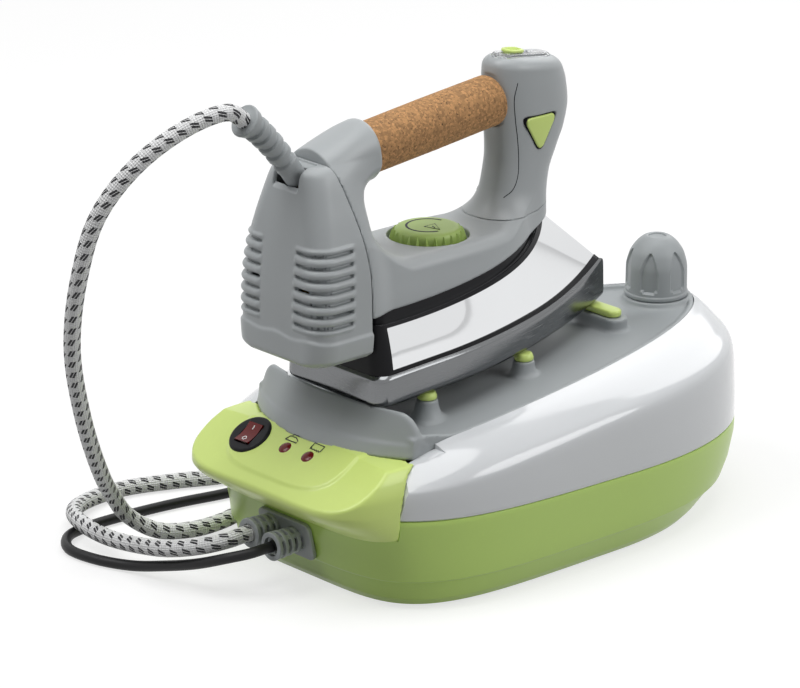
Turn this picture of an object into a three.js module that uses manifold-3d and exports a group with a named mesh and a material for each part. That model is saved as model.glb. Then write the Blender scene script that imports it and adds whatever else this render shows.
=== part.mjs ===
// Steam generator iron: a boiler base with its iron parked on the tray.
// Millimetres, +Z up. The control panel faces -Y, the boiler cap is at +Y, the floor is z = 0.
import * as THREE from 'three';
import { mergeVertices } from 'three/addons/utils/BufferGeometryUtils.js';
import Module from 'manifold-3d';

const wasm = await Module();
wasm.setup();

// ---------------------------------------------------------------- driving sizes
const GAP = 0.3;                  // between pieces that touch
const BASE_WIDTH = 234;
const BASE_LENGTH = 394;          // panel lip to rear end
const SPLIT_HEIGHT = 60;          // seam between the two shells, at mid length
const SPLIT_SLOPE = -0.023;
const TRAY_HEIGHT = 115.5;        // tray rim, at mid length
const SHELL_WALL = 2.6;
const PANEL_RISE = 24;            // panel face, front edge to the stop wall
const STOP_HEIGHT = 125;          // top of the heel-stop wall
const CAP_RADIUS = 22;
const CAP_HEIGHT = 42;
const SOLE_LENGTH = 247;
const SOLE_WIDTH = 96;
const SOLE_HEIGHT = 123;          // ironing face above the floor, at the heel
const SOLE_SLOPE = 0.045;
const SOLE_THICK = 21;
const GRIP_RADIUS = 17.5;
const GRIP_LENGTH = 116;
const KNOB_RADIUS = 25.5;
const BUTTON_TRAVEL = 2.5;
const SLIDER_TRAVEL = 8;
const HOSE_RADIUS = 5.5;
const CORD_RADIUS = 3.6;

// ---------------------------------------------------------------- places
const HALF = BASE_WIDTH / 2;
const FRONT = -BASE_LENGTH / 2;
const REAR = BASE_LENGTH / 2;
const MID = FRONT + 217;          // widest station of the shells
const CAP_Y = REAR - 32;
const HEEL_Y = FRONT + 64;        // rear edge of the soleplate, behind the stop wall
const TIP_Y = HEEL_Y + SOLE_LENGTH;
const KNOB_Y = HEEL_Y + 85;
const GRIP_START = new THREE.Vector3(0, HEEL_Y + 26, 281);
const GRIP_TILT = 0.108;
const HOSE_EXIT = new THREE.Vector3(-16, FRONT + 7, 36);
const CORD_EXIT = new THREE.Vector3(6, FRONT + 7, 33);
const COLUMN_Y = GRIP_START.y + GRIP_LENGTH * Math.cos(GRIP_TILT);

const V = (x, y, z) => new THREE.Vector3(x, y, z);
const clamp01 = (t) => Math.min(1, Math.max(0, t));
const lerp = (a, b, t) => a + (b - a) * t;

// ---------------------------------------------------------------- finishes
const finish = (color, roughness, metalness = 0) => (
  new THREE.MeshStandardMaterial({ color, roughness, metalness })
);
const LIME = finish(0xb7d452, 0.35);
const WHITE = finish(0xe8ebee, 0.18);
const GREY = finish(0x979ea2, 0.5);
const PALE_GREY = finish(0xa9afb2, 0.42);
const BLACK = finish(0x18191b, 0.45);
const RUBBER = finish(0x222325, 0.8);
const RED = finish(0x9c1712, 0.3);
const CLEAR = finish(0xdfe5e8, 0.12);
const CORK = finish(0xb9834a, 0.85);
const CHROME = finish(0xdcdfe2, 0.06, 1);
const ALUMINIUM = finish(0xb4b6b8, 0.38, 1);
const STEEL = finish(0x9a9da0, 0.35, 1);
const BRASS = finish(0xb8954a, 0.35, 1);
const BRAID = finish(0xdadcdc, 0.8);
const CORD_BLACK = finish(0x151516, 0.5);

// ---------------------------------------------------------------- solid helpers
function solidOf(geometry) {
  const g = geometry.clone();
  g.deleteAttribute('normal');
  g.deleteAttribute('uv');
  const m = mergeVertices(g, 1e-4);
  return new wasm.Manifold(new wasm.Mesh({
    numProp: 3,
    vertProperties: Float32Array.from(m.attributes.position.array),
    triVerts: Uint32Array.from(m.index.array),
  }));
}

function geometryOf(solid) {
  const mesh = solid.getMesh();
  const g = new THREE.BufferGeometry();
  const p = new Float32Array(mesh.numVert * 3);
  for (let i = 0; i < mesh.numVert; i += 1) {
    for (let k = 0; k < 3; k += 1) p[3 * i + k] = mesh.vertProperties[i * mesh.numProp + k];
  }
  g.setAttribute('position', new THREE.BufferAttribute(p, 3));
  g.setIndex(Array.from(mesh.triVerts));
  return g;
}

const join = (...parts) => geometryOf(parts.map(solidOf).reduce((a, b) => a.add(b)));
const cut = (body, ...tools) => (
  geometryOf(tools.map(solidOf).reduce((a, b) => a.subtract(b), solidOf(body)))
);

// Rings run anticlockwise seen from above, starting at their -Y end, and mirror left to right.
function loft(rings, closed = false) {
  const n = rings[0].length;
  const position = [];
  const index = [];
  rings.forEach((ring) => ring.forEach((p) => position.push(p.x, p.y, p.z)));
  const last = closed ? rings.length : rings.length - 1;
  for (let k = 0; k < last; k += 1) {
    const lo = k * n;
    const hi = ((k + 1) % rings.length) * n;
    for (let i = 0; i < n; i += 1) {
      const j = (i + 1) % n;
      index.push(lo + i, lo + j, hi + j, lo + i, hi + j, hi + i);
    }
  }
  if (!closed) {
    const end = (rings.length - 1) * n;
    for (let i = 0; i < n / 2; i += 1) {
      const a = i;
      const b = i + 1;
      const c = (n - b) % n;
      const d = (n - a) % n;
      if (a !== d) index.push(a, d, c, end + a, end + c, end + d);
      if (b !== c) index.push(a, c, b, end + a, end + b, end + c);
    }
  }
  const g = new THREE.BufferGeometry();
  g.setAttribute('position', new THREE.Float32BufferAttribute(position, 3));
  g.setIndex(index);
  return g;
}

// A closed outline whose two halves are superellipses of their own depth and squareness.
function oval({ a, front, rear, mid, nf, nr }, height, n = 44) {
  const ring = [];
  for (let i = 0; i < n; i += 1) {
    const t = (i / n) * 2 * Math.PI - Math.PI / 2;
    const c = i % (n / 2) === 0 ? 0 : Math.cos(t);
    const s = i === n / 4 || i === 3 * n / 4 ? 0 : Math.sin(t);
    const e = s < 0 ? nf : nr;
    const x = a * Math.sign(c) * Math.abs(c) ** (2 / e);
    const y = mid + (s < 0 ? front : rear) * Math.sign(s) * Math.abs(s) ** (2 / e);
    ring.push(V(x, y, height(x, y)));
  }
  return ring;
}

const blend = (p, q, t, height) => p.map((v, i) => {
  const x = lerp(v.x, q[i].x, t);
  const y = lerp(v.y, q[i].y, t);
  return V(x, y, height(x, y));
});

// Sections across X: each is a list of [y, z] corners, anticlockwise seen from +X.
function sections(stations, corners) {
  const rings = stations.map((x) => corners(x).map(([y, z]) => V(x, y, z)));
  const n = rings[0].length;
  const position = [];
  const index = [];
  rings.forEach((ring) => ring.forEach((p) => position.push(p.x, p.y, p.z)));
  for (let k = 0; k < rings.length - 1; k += 1) {
    for (let i = 0; i < n; i += 1) {
      const j = (i + 1) % n;
      const lo = k * n;
      const hi = lo + n;
      index.push(lo + i, lo + j, hi + j, lo + i, hi + j, hi + i);
    }
  }
  [0, rings.length - 1].forEach((k) => {
    const flat = rings[k].map((p) => new THREE.Vector2(p.y, p.z));
    THREE.ShapeUtils.triangulateShape(flat, []).forEach(([a, b, c]) => {
      if (k === 0) index.push(a, c, b);
      else index.push(k * n + a, k * n + b, k * n + c);
    });
  });
  const g = new THREE.BufferGeometry();
  g.setAttribute('position', new THREE.Float32BufferAttribute(position, 3));
  g.setIndex(index);
  return g;
}

const lathe = (points, segments = 32) => (
  new THREE.LatheGeometry(points.map(([r, z]) => new THREE.Vector2(r, z)), segments)
    .rotateX(Math.PI / 2)
);

function prism(shape, depth, curve = 6) {
  return new THREE.ExtrudeGeometry(shape, { depth, bevelEnabled: false, curveSegments: curve });
}

function box(x0, x1, y0, y1, z0, z1) {
  return new THREE.BoxGeometry(x1 - x0, y1 - y0, z1 - z0)
    .translate((x0 + x1) / 2, (y0 + y1) / 2, (z0 + z1) / 2);
}

const rod = (radius, z0, z1, sides = 24) => (
  lathe([[0, z0], [radius, z0], [radius, z1], [0, z1]], sides)
);

function along(geometry, from, direction) {
  const turn = new THREE.Quaternion().setFromUnitVectors(V(0, 0, 1), direction.clone().normalize());
  return geometry.applyQuaternion(turn).translate(from.x, from.y, from.z);
}

function tube(points, radius, sides, steps) {
  const path = new THREE.CatmullRomCurve3(points, false, 'centripetal');
  const circle = new THREE.Shape();
  circle.absarc(0, 0, radius, 0, 2 * Math.PI, false);
  return new THREE.ExtrudeGeometry(circle, {
    steps, curveSegments: sides / 2, bevelEnabled: false, extrudePath: path,
  });
}


function roundedRect(w, h, r) {
  const shape = new THREE.Shape();
  shape.absarc(w / 2 - r, h / 2 - r, r, 0, Math.PI / 2, false);
  shape.absarc(r - w / 2, h / 2 - r, r, Math.PI / 2, Math.PI, false);
  shape.absarc(r - w / 2, r - h / 2, r, Math.PI, 1.5 * Math.PI, false);
  shape.absarc(w / 2 - r, r - h / 2, r, 1.5 * Math.PI, 2 * Math.PI, false);
  return shape;
}

// ---------------------------------------------------------------- base shells
const rimHeight = (y) => {
  const u = y - MID;
  return TRAY_HEIGHT + 1.5 + 0.066 * u - 0.00015 * u * u;
};
const splitHeight = (y) => SPLIT_HEIGHT + SPLIT_SLOPE * y;

// Height of the lower shell, then its side, front and rear insets and front squareness.
const LOWER_LEVELS = [
  [3, 10, 16, 40, 4.6],
  [7, 7, 13, 34, 4.4],
  [20, 1.8, 9, 14, 4],
  [32, 0.6, 6.5, 5.5, 3.9],
];

const bodyOutline = (side, front, rear, height, nf = 3.8) => oval({
  a: HALF - side,
  front: MID - FRONT - 26 - front,
  rear: REAR - MID - 1.5 - rear,
  mid: MID,
  nf,
  nr: 2.4,
}, height);

const rimOutline = (inset, height) => oval({
  a: HALF * 0.697 - inset,
  front: 70 - inset,
  rear: REAR - MID + 72 - inset,
  mid: MID - 80,
  nf: 3,
  nr: 2,
}, height);

const FEET = [
  ['front_left', -HALF * 0.62, FRONT + 80],
  ['front_right', HALF * 0.62, FRONT + 80],
  ['rear_left', -HALF * 0.5, REAR - 88],
  ['rear_right', HALF * 0.5, REAR - 88],
];
const FLOOR_TOP = 6.5;
const VALVE = { x: -30, y: MID - 50, z: 40, w: 28, d: 30, h: 32 };

const LIP_HEIGHT = 74;            // front edge of the panel face
const PANEL_DEPTH = 38.5;         // front edge to the stop wall, at the middle
const panelRear = (x) => FRONT + PANEL_DEPTH + 27 * Math.abs(x / 76) ** 2.2;
const PANEL_BACK = FRONT + 45.5;
const SEAM_HEIGHT = 50;

// Joint line between the white shell and everything in front of it.
const shoulderLine = (shift) => [
  [PANEL_BACK, 45],
  [PANEL_BACK, 66],
  [PANEL_BACK + 3, 80],
  [PANEL_BACK + 9, 90.5],
  [PANEL_BACK + 18, 96],
  [PANEL_BACK + 30, 99],
  [PANEL_BACK + 39, 101],
  [PANEL_BACK + 44, 200],
].map(([y, z]) => [y + shift, z - shift]);

function frontOf(shift) {
  const line = [[FRONT - 60, 45], ...shoulderLine(shift), [FRONT - 60, 200]];
  return sections([-160, 160], () => line);
}

function behind(shift) {
  const line = [[REAR + 20, 45], [REAR + 20, 200], ...shoulderLine(shift).reverse()];
  return sections([-160, 160], () => line);
}

function lowerShell() {
  const outer = LOWER_LEVELS.map(([z, s, f, r, n]) => bodyOutline(s, f, r, () => z, n));
  outer.push(bodyOutline(0, 0, 0, (x, y) => splitHeight(y)));
  const w = SHELL_WALL;
  const inner = [bodyOutline(w, w, w, (x, y) => splitHeight(y))];
  LOWER_LEVELS.slice(1).reverse().forEach(([z, s, f, r, n]) => {
    inner.push(bodyOutline(s + w, f + w, r + w, () => Math.max(z, FLOOR_TOP + 1.5), n));
  });
  inner.push(bodyOutline(14, 20, 42, () => FLOOR_TOP, 4.6));
  const bosses = FEET.map(([, x, y]) => rod(5.5, 4, 17, 12).translate(x, y, 0));
  const valvePost = rod(9, 4, VALVE.z - GAP, 12).translate(VALVE.x, VALVE.y, 0);
  const shell = join(loft([...outer, ...inner]), ...bosses, valvePost);
  const screwHoles = FEET.map(([, x, y]) => rod(1.9, 0, 14.5, 10).translate(x, y, 0));
  const seamStep = box(-160, 160, FRONT - 20, PANEL_BACK, SEAM_HEIGHT, 90);
  const portRoom = onFrontWall(prism(roundedRect(43, 21, 9), 20, 3).translate(0, 0, -12));
  return cut(shell, seamStep, portRoom, ...screwHoles);
}

function upperShell() {
  const w = SHELL_WALL;
  const rim = rimOutline(0, (x, y) => rimHeight(y));
  const split = bodyOutline(0, 0, 0, () => 0);
  const inside = bodyOutline(w, w, w, () => 0);
  const at = (from, t, drop) => blend(from, rim, t, (x, y) => rimHeight(y) - drop);
  const rings = [
    bodyOutline(0, 0, 0, (x, y) => splitHeight(y) + GAP),
    bodyOutline(0.3, 0.3, 0.3, () => 80),
    at(split, 0.08, 17),
    at(split, 0.35, 8.5),
    at(split, 0.7, 2.5),
    rim,
    rimOutline(0, (x, y) => rimHeight(y) - 3.2),
    at(inside, 0.7, 5.6),
    at(inside, 0.35, 11.5),
    at(inside, 0.08, 19.6),
    bodyOutline(w + 0.3, w + 0.3, w + 0.3, () => 78),
    bodyOutline(w, w, w, (x, y) => splitHeight(y) + GAP),
  ];
  const frontWindow = box(-81, 81, FRONT - 10, PANEL_BACK + 39, 84, 130);
  const pastStop = box(-78, 78, FRONT, PANEL_BACK + 48, 94, 130);
  return cut(loft(rings, true), frontOf(0), frontWindow, pastStop);
}

const ARC_STATIONS = [
  -80, -76, -70, -62, -52, -40, -27, -13, 0, 13, 27, 40, 52, 62, 70, 76, 80,
];
const stopTop = (x) => HEEL_Y - 6.5 + 9 * (x / 64) ** 2;

const PADS = [
  ['front_left', -41, HEEL_Y + 47],
  ['front_right', 41, HEEL_Y + 47],
  ['mid_left', -36, HEEL_Y + 138],
  ['mid_right', 36, HEEL_Y + 138],
];
const soleHeight = (y) => SOLE_HEIGHT + SOLE_SLOPE * (y - HEEL_Y - 11);
const PAD_DROP = 5.5;             // pad bead above its seat
const TIP_PAD = { y: HEEL_Y + 236, half: 26 };

function topTray() {
  const plate = loft([
    rimOutline(3, (x, y) => rimHeight(y) - 8),
    rimOutline(GAP, (x, y) => rimHeight(y) - 3),
    rimOutline(GAP, (x, y) => rimHeight(y)),
    rimOutline(3.5, (x, y) => rimHeight(y)),
    rimOutline(5.5, (x, y) => rimHeight(y) - 3),
  ]);
  const wall = sections(ARC_STATIONS.slice(1, -1), (x) => {
    const droop = 1 - Math.sqrt(1 - clamp01((Math.abs(x) - 54) / 22.5) ** 2);
    const top = lerp(STOP_HEIGHT, 104, droop);
    const back = Math.max(stopTop(x), panelRear(x) + 3);
    return [
      [panelRear(x), 96.7],
      [back + 14, 96.7],
      [back + 10, 104],
      [back + 5.5, top - 1.5],
      [back + 4, top],
      [back + 1.2, top],
      [back, top - 1.5],
      [panelRear(x) + 0.4, 98.5],
    ];
  });
  const base = rimHeight(CAP_Y) - 6;
  const collar = lathe([[0, base], [23.2, base], [23.2, 122.8], [22.4, 124.6], [0, 124.6]], 28)
    .translate(0, CAP_Y, 0);
  const seats = PADS.map(([, x, y]) => {
    const foot = rimHeight(y) - 6;
    const top = soleHeight(y) - PAD_DROP - GAP;
    return lathe([[0, foot], [10.5, foot], [7.6, top - 1], [7, top], [0, top]], 14)
      .translate(x, y, 0);
  });
  const tipTop = soleHeight(TIP_PAD.y) - PAD_DROP - GAP;
  const tipSeat = prism(roundedRect(2 * TIP_PAD.half + 10, 17, 8), tipTop - 114, 6)
    .translate(0, TIP_PAD.y, 114);
  const neckHole = rod(14.9, 90, 130, 32).translate(0, CAP_Y, 0);
  const padHoles = PADS.map(([, x, y]) => (
    rod(2.6, soleHeight(y) - 14, soleHeight(y), 12).translate(x, y, 0)
  ));
  const soleRoom = loft([
    soleShoe(-0.7, (x, y) => soleHeight(y) - GAP),
    soleShoe(-0.7, (x, y) => soleHeight(y) + 20),
  ]);
  return cut(join(plate, wall, collar, ...seats, tipSeat), neckHole, soleRoom, ...padHoles);
}

const panelRing = (reach, squareness, inset, z) => oval({
  a: 89.5 - inset,
  front: reach - inset,
  rear: 30,
  mid: FRONT + 97,
  nf: squareness,
  nr: 8,
}, () => z, 44);

// The panel face climbs from the lip to the stop wall, then runs level beside the wall's ends.
const panelDroop = (x) => 3 * (x / 80) ** 2;
const panelFace = (x, y) => {
  const climb = LIP_HEIGHT + (PANEL_RISE * (y - FRONT)) / PANEL_DEPTH;
  return Math.min(climb, LIP_HEIGHT + PANEL_RISE + 1.5) - panelDroop(x);
};

function abovePanel(drop) {
  return sections([-130, -100, ...ARC_STATIONS, 100, 130], (x) => {
    const z = LIP_HEIGHT - drop - panelDroop(x);
    const level = z + PANEL_RISE + 1.5;
    return [
      [FRONT - PANEL_DEPTH, z - PANEL_RISE],
      [FRONT + PANEL_DEPTH, z + PANEL_RISE],
      [FRONT + PANEL_DEPTH + 4, level],
      [FRONT + 160, level + 1],
      [FRONT + 160, 260],
      [FRONT - PANEL_DEPTH, 260],
    ];
  });
}

// A frame on the sloped panel face: origin at (x, y), Z along the face normal, X level.
function onPanel(geometry, x, y, lift = 0) {
  const dx = (panelFace(x + 4, y) - panelFace(x - 4, y)) / 8;
  const dy = (panelFace(x, y + 4) - panelFace(x, y - 4)) / 8;
  const up = V(-dx, -dy, 1).normalize();
  const right = V(1, 0, dx).normalize();
  const frame = new THREE.Matrix4().makeBasis(right, up.clone().cross(right), up);
  return geometry.translate(0, 0, lift).applyMatrix4(frame).translate(x, y, panelFace(x, y));
}

const SWITCH = { x: -38.5, y: FRONT + 29, radius: 14.5 };
const LAMPS = [
  ['power', -4, FRONT + 29],
  ['steam', 18, FRONT + 29],
];

function controlPanel() {
  const outer = loft([
    panelRing(72, 5.2, 0, SEAM_HEIGHT + GAP),
    panelRing(83, 5.2, 0, 58),
    panelRing(94, 5.3, 0, 66),
    panelRing(97, 5.4, 0, 71),
    panelRing(96.4, 5.4, 0, 78),
    panelRing(96, 5.4, 3.5, 89),
    panelRing(95, 5.4, 8.5, 97),
    panelRing(95, 5.4, 11, 110),
  ]);
  const inner = loft([
    panelRing(72, 5.2, 3, SEAM_HEIGHT - 3),
    panelRing(75, 5.2, 3, 54),
    panelRing(83, 5.2, 3, 59),
    panelRing(93, 5.3, 3, 67),
    panelRing(93, 5.4, 3.6, 78),
    panelRing(93, 5.4, 8, 89),
    panelRing(93, 5.4, 12.5, 96),
  ]);
  const hollow = cut(inner, abovePanel(3.2));
  const underStop = sections(ARC_STATIONS, (x) => [
    [panelRear(x) - GAP, 96.4],
    [panelRear(x) + 90, 96.4],
    [panelRear(x) + 90, 160],
    [panelRear(x) - GAP, 160],
  ]);
  const switchHole = onPanel(rod(11.4, -20, 20, 24), SWITCH.x, SWITCH.y);
  const lampHoles = LAMPS.map(([, x, y]) => onPanel(rod(3.2, -15, 15, 12), x, y));
  return cut(outer, abovePanel(0), behind(-GAP), hollow, underStop, switchHole, ...lampHoles);
}

// ---------------------------------------------------------------- base fittings
function foot(x, y) {
  return lathe([
    [4.4, 0], [8, 0], [9, 1.2], [9, 2.7], [2, 2.7], [2, 1.9], [4.4, 1.9], [4.4, 0],
  ], 12).translate(x, y, 0);
}

function footScrew(x, y) {
  return lathe([[0, 0.5], [3.2, 0.5], [3.6, 1], [3.6, 1.6], [1.6, 1.6], [1.6, 13], [0, 13.8]], 8)
    .translate(x, y, 0);
}

function restPad(x, y) {
  const top = soleHeight(y) - GAP;
  const seat = soleHeight(y) - PAD_DROP;
  return lathe([
    [0, seat - 6], [2.3, seat - 6], [2.3, seat], [6.2, seat], [6.4, seat + 2], [5.6, top - 1],
    [3.4, top - 0.2], [0, top - 0.2],
  ], 14).translate(x, y, 0);
}

function tipPad() {
  const top = soleHeight(TIP_PAD.y - 7) - 0.5;
  const seat = soleHeight(TIP_PAD.y) - PAD_DROP;
  return prism(roundedRect(2 * TIP_PAD.half, 12, 5.9), top - seat, 6)
    .translate(0, TIP_PAD.y, seat);
}

function switchBezel() {
  const r = SWITCH.radius;
  const depth = 14;
  const body = lathe([
    [0, -depth], [11, -depth], [11, GAP], [r, GAP], [r, GAP + 1.2], [r - 1.4, GAP + 2.4],
    [r - 3, GAP + 2.4], [0, GAP + 1.9],
  ], 20);
  const opening = prism(roundedRect(14.4, 18, 1), 40, 3).translate(0, 0, 3 - depth);
  return onPanel(cut(body, opening), SWITCH.x, SWITCH.y);
}

function rockerSwitch() {
  const half = 8.1;
  const shape = new THREE.Shape();
  shape.moveTo(-half + 1, -4);
  shape.quadraticCurveTo(0, -9, half - 1, -4);
  shape.lineTo(half, 1.6);
  shape.quadraticCurveTo(0, -1, -half, 1.6);
  const rocker = prism(shape, 13.2, 6).rotateX(Math.PI / 2).rotateZ(Math.PI / 2)
    .translate(-6.6, 0, 2.6);
  return onPanel(rocker, SWITCH.x, SWITCH.y);
}

function lamp(x, y) {
  return onPanel(lathe([
    [0, -12], [2.9, -12], [2.9, GAP], [4.8, GAP], [4.6, GAP + 0.9], [2.8, GAP + 1.8],
    [0, GAP + 2.1],
  ], 16), x, y);
}

const GLAND_TILT = 0.225;
function onFrontWall(geometry) {
  return geometry.rotateX(Math.PI / 2 + GLAND_TILT).translate(-4, FRONT + 31.25, 34);
}

function glandPlate() {
  const plate = onFrontWall(prism(roundedRect(50, 27, 5), 3.2, 5));
  const holes = [HOSE_EXIT, CORD_EXIT].map((p) => (
    rod(6.6, -30, 45, 16).rotateX(-Math.PI / 2).translate(p.x, p.y, p.z)
  ));
  return cut(plate, ...holes);
}

// A ribbed sleeve whose mouth is the origin and whose tail runs back along +Z.
function ribbedSleeve(length, mouth, root, ribs, tail) {
  const profile = [[0, 0], [mouth - 0.6, 0]];
  for (let i = 0; i < ribs; i += 1) {
    const z = (length * i) / ribs;
    const r = lerp(mouth, root, i / ribs);
    profile.push([r, z + 0.4], [r, z + (length / ribs) * 0.55], [r - 1, z + (length / ribs) * 0.8]);
  }
  profile.push([root, length], [root, length + tail], [0, length + tail]);
  return lathe(profile, 12);
}

const sleeveAt = (p, geometry) => geometry.rotateX(-Math.PI / 2).translate(p.x, p.y, p.z);
const hoseGland = () => sleeveAt(HOSE_EXIT, ribbedSleeve(18, 8.6, 6.2, 3, 14));
const cordGland = () => sleeveAt(CORD_EXIT, ribbedSleeve(18, 8.2, 6.2, 3, 14));

// ---------------------------------------------------------------- boiler
const TANK = { r: 0.427 * HALF, z0: 34, z1: 96, y0: MID + 50, y1: REAR - 61, wall: 2 };
const NECK_BORE = 12;

function stadium(r, y0, y1, height, n = 32) {
  const ring = [];
  for (let i = 0; i < n; i += 1) {
    const t = (i / n) * 2 * Math.PI - Math.PI / 2;
    const c = i % (n / 2) === 0 ? 0 : Math.cos(t);
    ring.push(V(r * c, (Math.sin(t) < 0 ? y0 : y1) + r * Math.sin(t), height));
  }
  return ring;
}

function boilerTank() {
  const { r, z0, z1, y0, y1, wall } = TANK;
  const outer = loft([
    stadium(r - 5, y0, y1, z0),
    stadium(r - 1.5, y0, y1, z0 + 1.5),
    stadium(r, y0, y1, z0 + 5),
    stadium(r, y0, y1, z1 - 5),
    stadium(r - 1.5, y0, y1, z1 - 1.5),
    stadium(r - 5, y0, y1, z1),
  ]);
  const inner = loft([
    stadium(r - wall - 4, y0, y1, z0 + wall),
    stadium(r - wall, y0, y1, z0 + wall + 4),
    stadium(r - wall, y0, y1, z1 - wall - 4),
    stadium(r - wall - 4, y0, y1, z1 - wall),
  ]);
  const mouth = rod(NECK_BORE, z1 - 2 * wall, z1 + 1, 20).translate(0, CAP_Y, 0);
  return cut(outer, inner, mouth);
}

function boilerCradle() {
  const top = TANK.z0 - GAP;
  const foot0 = FLOOR_TOP + GAP;
  const y0 = TANK.y0 + 5;
  const y1 = TANK.y1 - 15;
  const saddles = [y0, y1].map((y) => box(-36, 36, y - 4, y + 4, foot0, top));
  const rails = [-12, 12].map((x) => box(x - 3, x + 3, y0, y1, foot0, foot0 + 6));
  const passes = [-22, 22].map((x) => box(x - 6, x + 6, y0 - 10, y1 + 10, 22, 40));
  return cut(join(...saddles, ...rails), ...passes);
}

function boilerHeater() {
  const z = TANK.z0 - 4.6;
  const y0 = TANK.y0 - 22;
  const y1 = TANK.y1 + 18;
  return tube([
    V(-22, y0, z), V(-22, (y0 + y1) / 2, z), V(-21, y1 - 16, z), V(0, y1, z), V(21, y1 - 16, z),
    V(22, (y0 + y1) / 2, z), V(22, y0, z),
  ], 4, 6, 22);
}

function boilerThermostat() {
  return lathe([[0, 0], [9, 0], [9, 4], [7, 5], [7, 9], [0, 9]], 24)
    .translate(18, TANK.y0 - 5, TANK.z1 + GAP);
}

function fillerNeck() {
  const z0 = TANK.z1 + GAP;
  return lathe([
    [NECK_BORE, z0], [17, z0], [17, z0 + 3], [14.5, z0 + 4], [14.5, 122.2], [NECK_BORE, 122.2],
    [NECK_BORE, z0],
  ], 20).translate(0, CAP_Y, 0);
}

function capGasket() {
  return lathe([[12.2, 122.5], [14.5, 122.5], [14.5, 124.6], [12.2, 124.6], [12.2, 122.5]], 20)
    .translate(0, CAP_Y, 0);
}

function capInsert() {
  return lathe([
    [0, 102], [9, 102], [11.6, 104], [11.6, 124.9], [17, 124.9], [17, 128], [9, 129.5],
    [9, 146], [0, 146],
  ], 20).translate(0, CAP_Y, 0);
}

const FLUTES = 6;
function capCover() {
  const z0 = 125;
  const levels = [
    [0, 0], [0.5, 2], [0.3, 5], [0.9, 20], [3.2, 30], [7.5, 36.5], [13.5, CAP_HEIGHT],
  ];
  const n = 36;
  const ringAt = (radius, z, depth) => {
    const ring = [];
    for (let i = 0; i < n; i += 1) {
      const t = (i / n) * 2 * Math.PI - Math.PI / 2;
      const wave = clamp01(Math.cos(FLUTES * (t + Math.PI / 2)) * 1.6 - 0.35);
      const r = radius - depth * wave;
      ring.push(V(i % (n / 2) === 0 ? 0 : r * Math.cos(t), r * Math.sin(t), z));
    }
    return ring;
  };
  const outer = levels.map(([inset, z]) => {
    const depth = z > 3 && z < 33 ? 1.6 : 0;
    return ringAt(CAP_RADIUS - inset, z0 + z, depth);
  });
  const inner = [ringAt(CAP_RADIUS - 14, z0 + CAP_HEIGHT - 1.5, 0)];
  inner.push(ringAt(CAP_RADIUS - 15, z0 + CAP_HEIGHT - 1.6, 0));
  const hollow = rod(17.4, z0 - 1, 148.5, 24);
  return cut(loft([...outer, ...inner]), hollow).translate(0, CAP_Y, 0);
}

function solenoidValve() {
  const { x, y, z, w, d, h } = VALVE;
  const block = box(x - w / 2, x + w / 2, y - d / 2, y + d / 2, z, z + h);
  const coil = rod(11, z + h - 1, z + h + 6, 24).translate(x, y, 0);
  return join(block, coil);
}

function tankPipe() {
  const y = TANK.y0 - TANK.r - GAP;
  const top = VALVE.z + VALVE.h + 6 + GAP;
  return tube([
    V(0, y, 75), V(0, y - 8, 75.5), V(-6, y - 22, 84), V(-18, VALVE.y + 12, 90),
    V(VALVE.x, VALVE.y, 88), V(VALVE.x, VALVE.y, top),
  ], 3, 8, 16);
}

function glandPipe() {
  return tube([
    V(VALVE.x, VALVE.y - VALVE.d / 2 - GAP, 52), V(VALVE.x, VALVE.y - 30, 51.5),
    V(-24, FRONT + 80, 42), V(HOSE_EXIT.x, FRONT + 54, 36.5),
    V(HOSE_EXIT.x, HOSE_EXIT.y + 32 + GAP, HOSE_EXIT.z),
  ], 3, 8, 16);
}

// ---------------------------------------------------------------- iron: metal parts
// Outline of the iron: blunt at the heel, sides easing into a pointed tip.
function shoe({ heel, tip, half, ease, power, corner }, height) {
  const side = [];
  const steps = 14;
  for (let i = 1; i <= 3; i += 1) {
    const a = (i / 3) * (Math.PI / 2);
    side.push([half - corner + corner * Math.sin(a), heel + corner * (1 - Math.cos(a))]);
  }
  for (let i = 1; i < steps; i += 1) {
    const f = (i / steps) ** 0.8;
    const y = lerp(heel + corner, tip, f);
    const t = clamp01((y - ease) / (tip - ease));
    side.push([half * (1 - t ** power), y]);
  }
  const ring = [V(0, heel, 0), V((half - corner) / 2, heel, 0), V(half - corner, heel, 0)];
  side.forEach(([x, y]) => ring.push(V(x, y, 0)));
  ring.push(V(0, tip, 0));
  for (let i = ring.length - 2; i > 0; i -= 1) ring.push(V(-ring[i].x, ring[i].y, 0));
  return ring.map((p) => V(p.x, p.y, height(p.x, p.y)));
}

const soleTop = (y) => (
  soleHeight(y) + SOLE_THICK + 9 * clamp01((y - HEEL_Y - 153) / 94) ** 2
);
const soleShoe = (inset, height) => shoe({
  heel: HEEL_Y + inset,
  tip: TIP_Y - 1.9 * inset,
  half: SOLE_WIDTH / 2 - inset,
  ease: HEEL_Y + 63,
  power: 1.8,
  corner: 11,
}, height);

const hoodShoe = (inset, height) => shoe({
  heel: HEEL_Y + 5 + inset,
  tip: HEEL_Y + 183 - 1.5 * inset,
  half: SOLE_WIDTH / 2 - 10 - inset,
  ease: HEEL_Y + 73,
  power: 3.5,
  corner: 9,
}, height);

const hoodTop = (y) => 176 + 34 * clamp01((y - HEEL_Y - 13) / 170) ** 2.2;
const bodyFloor = (y) => 184 + 27 * clamp01((y - HEEL_Y + 1) / 184) ** 2.2;

function soleplate() {
  return loft([
    soleShoe(3, (x, y) => soleHeight(y)),
    soleShoe(0, (x, y) => soleHeight(y) + 3),
    soleShoe(0.6, (x, y) => soleTop(y) - 2),
    soleShoe(2.4, (x, y) => soleTop(y)),
    soleShoe(9, (x, y) => soleTop(y)),
    soleShoe(9.6, (x, y) => soleHeight(y) + 9),
  ]);
}

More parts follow.
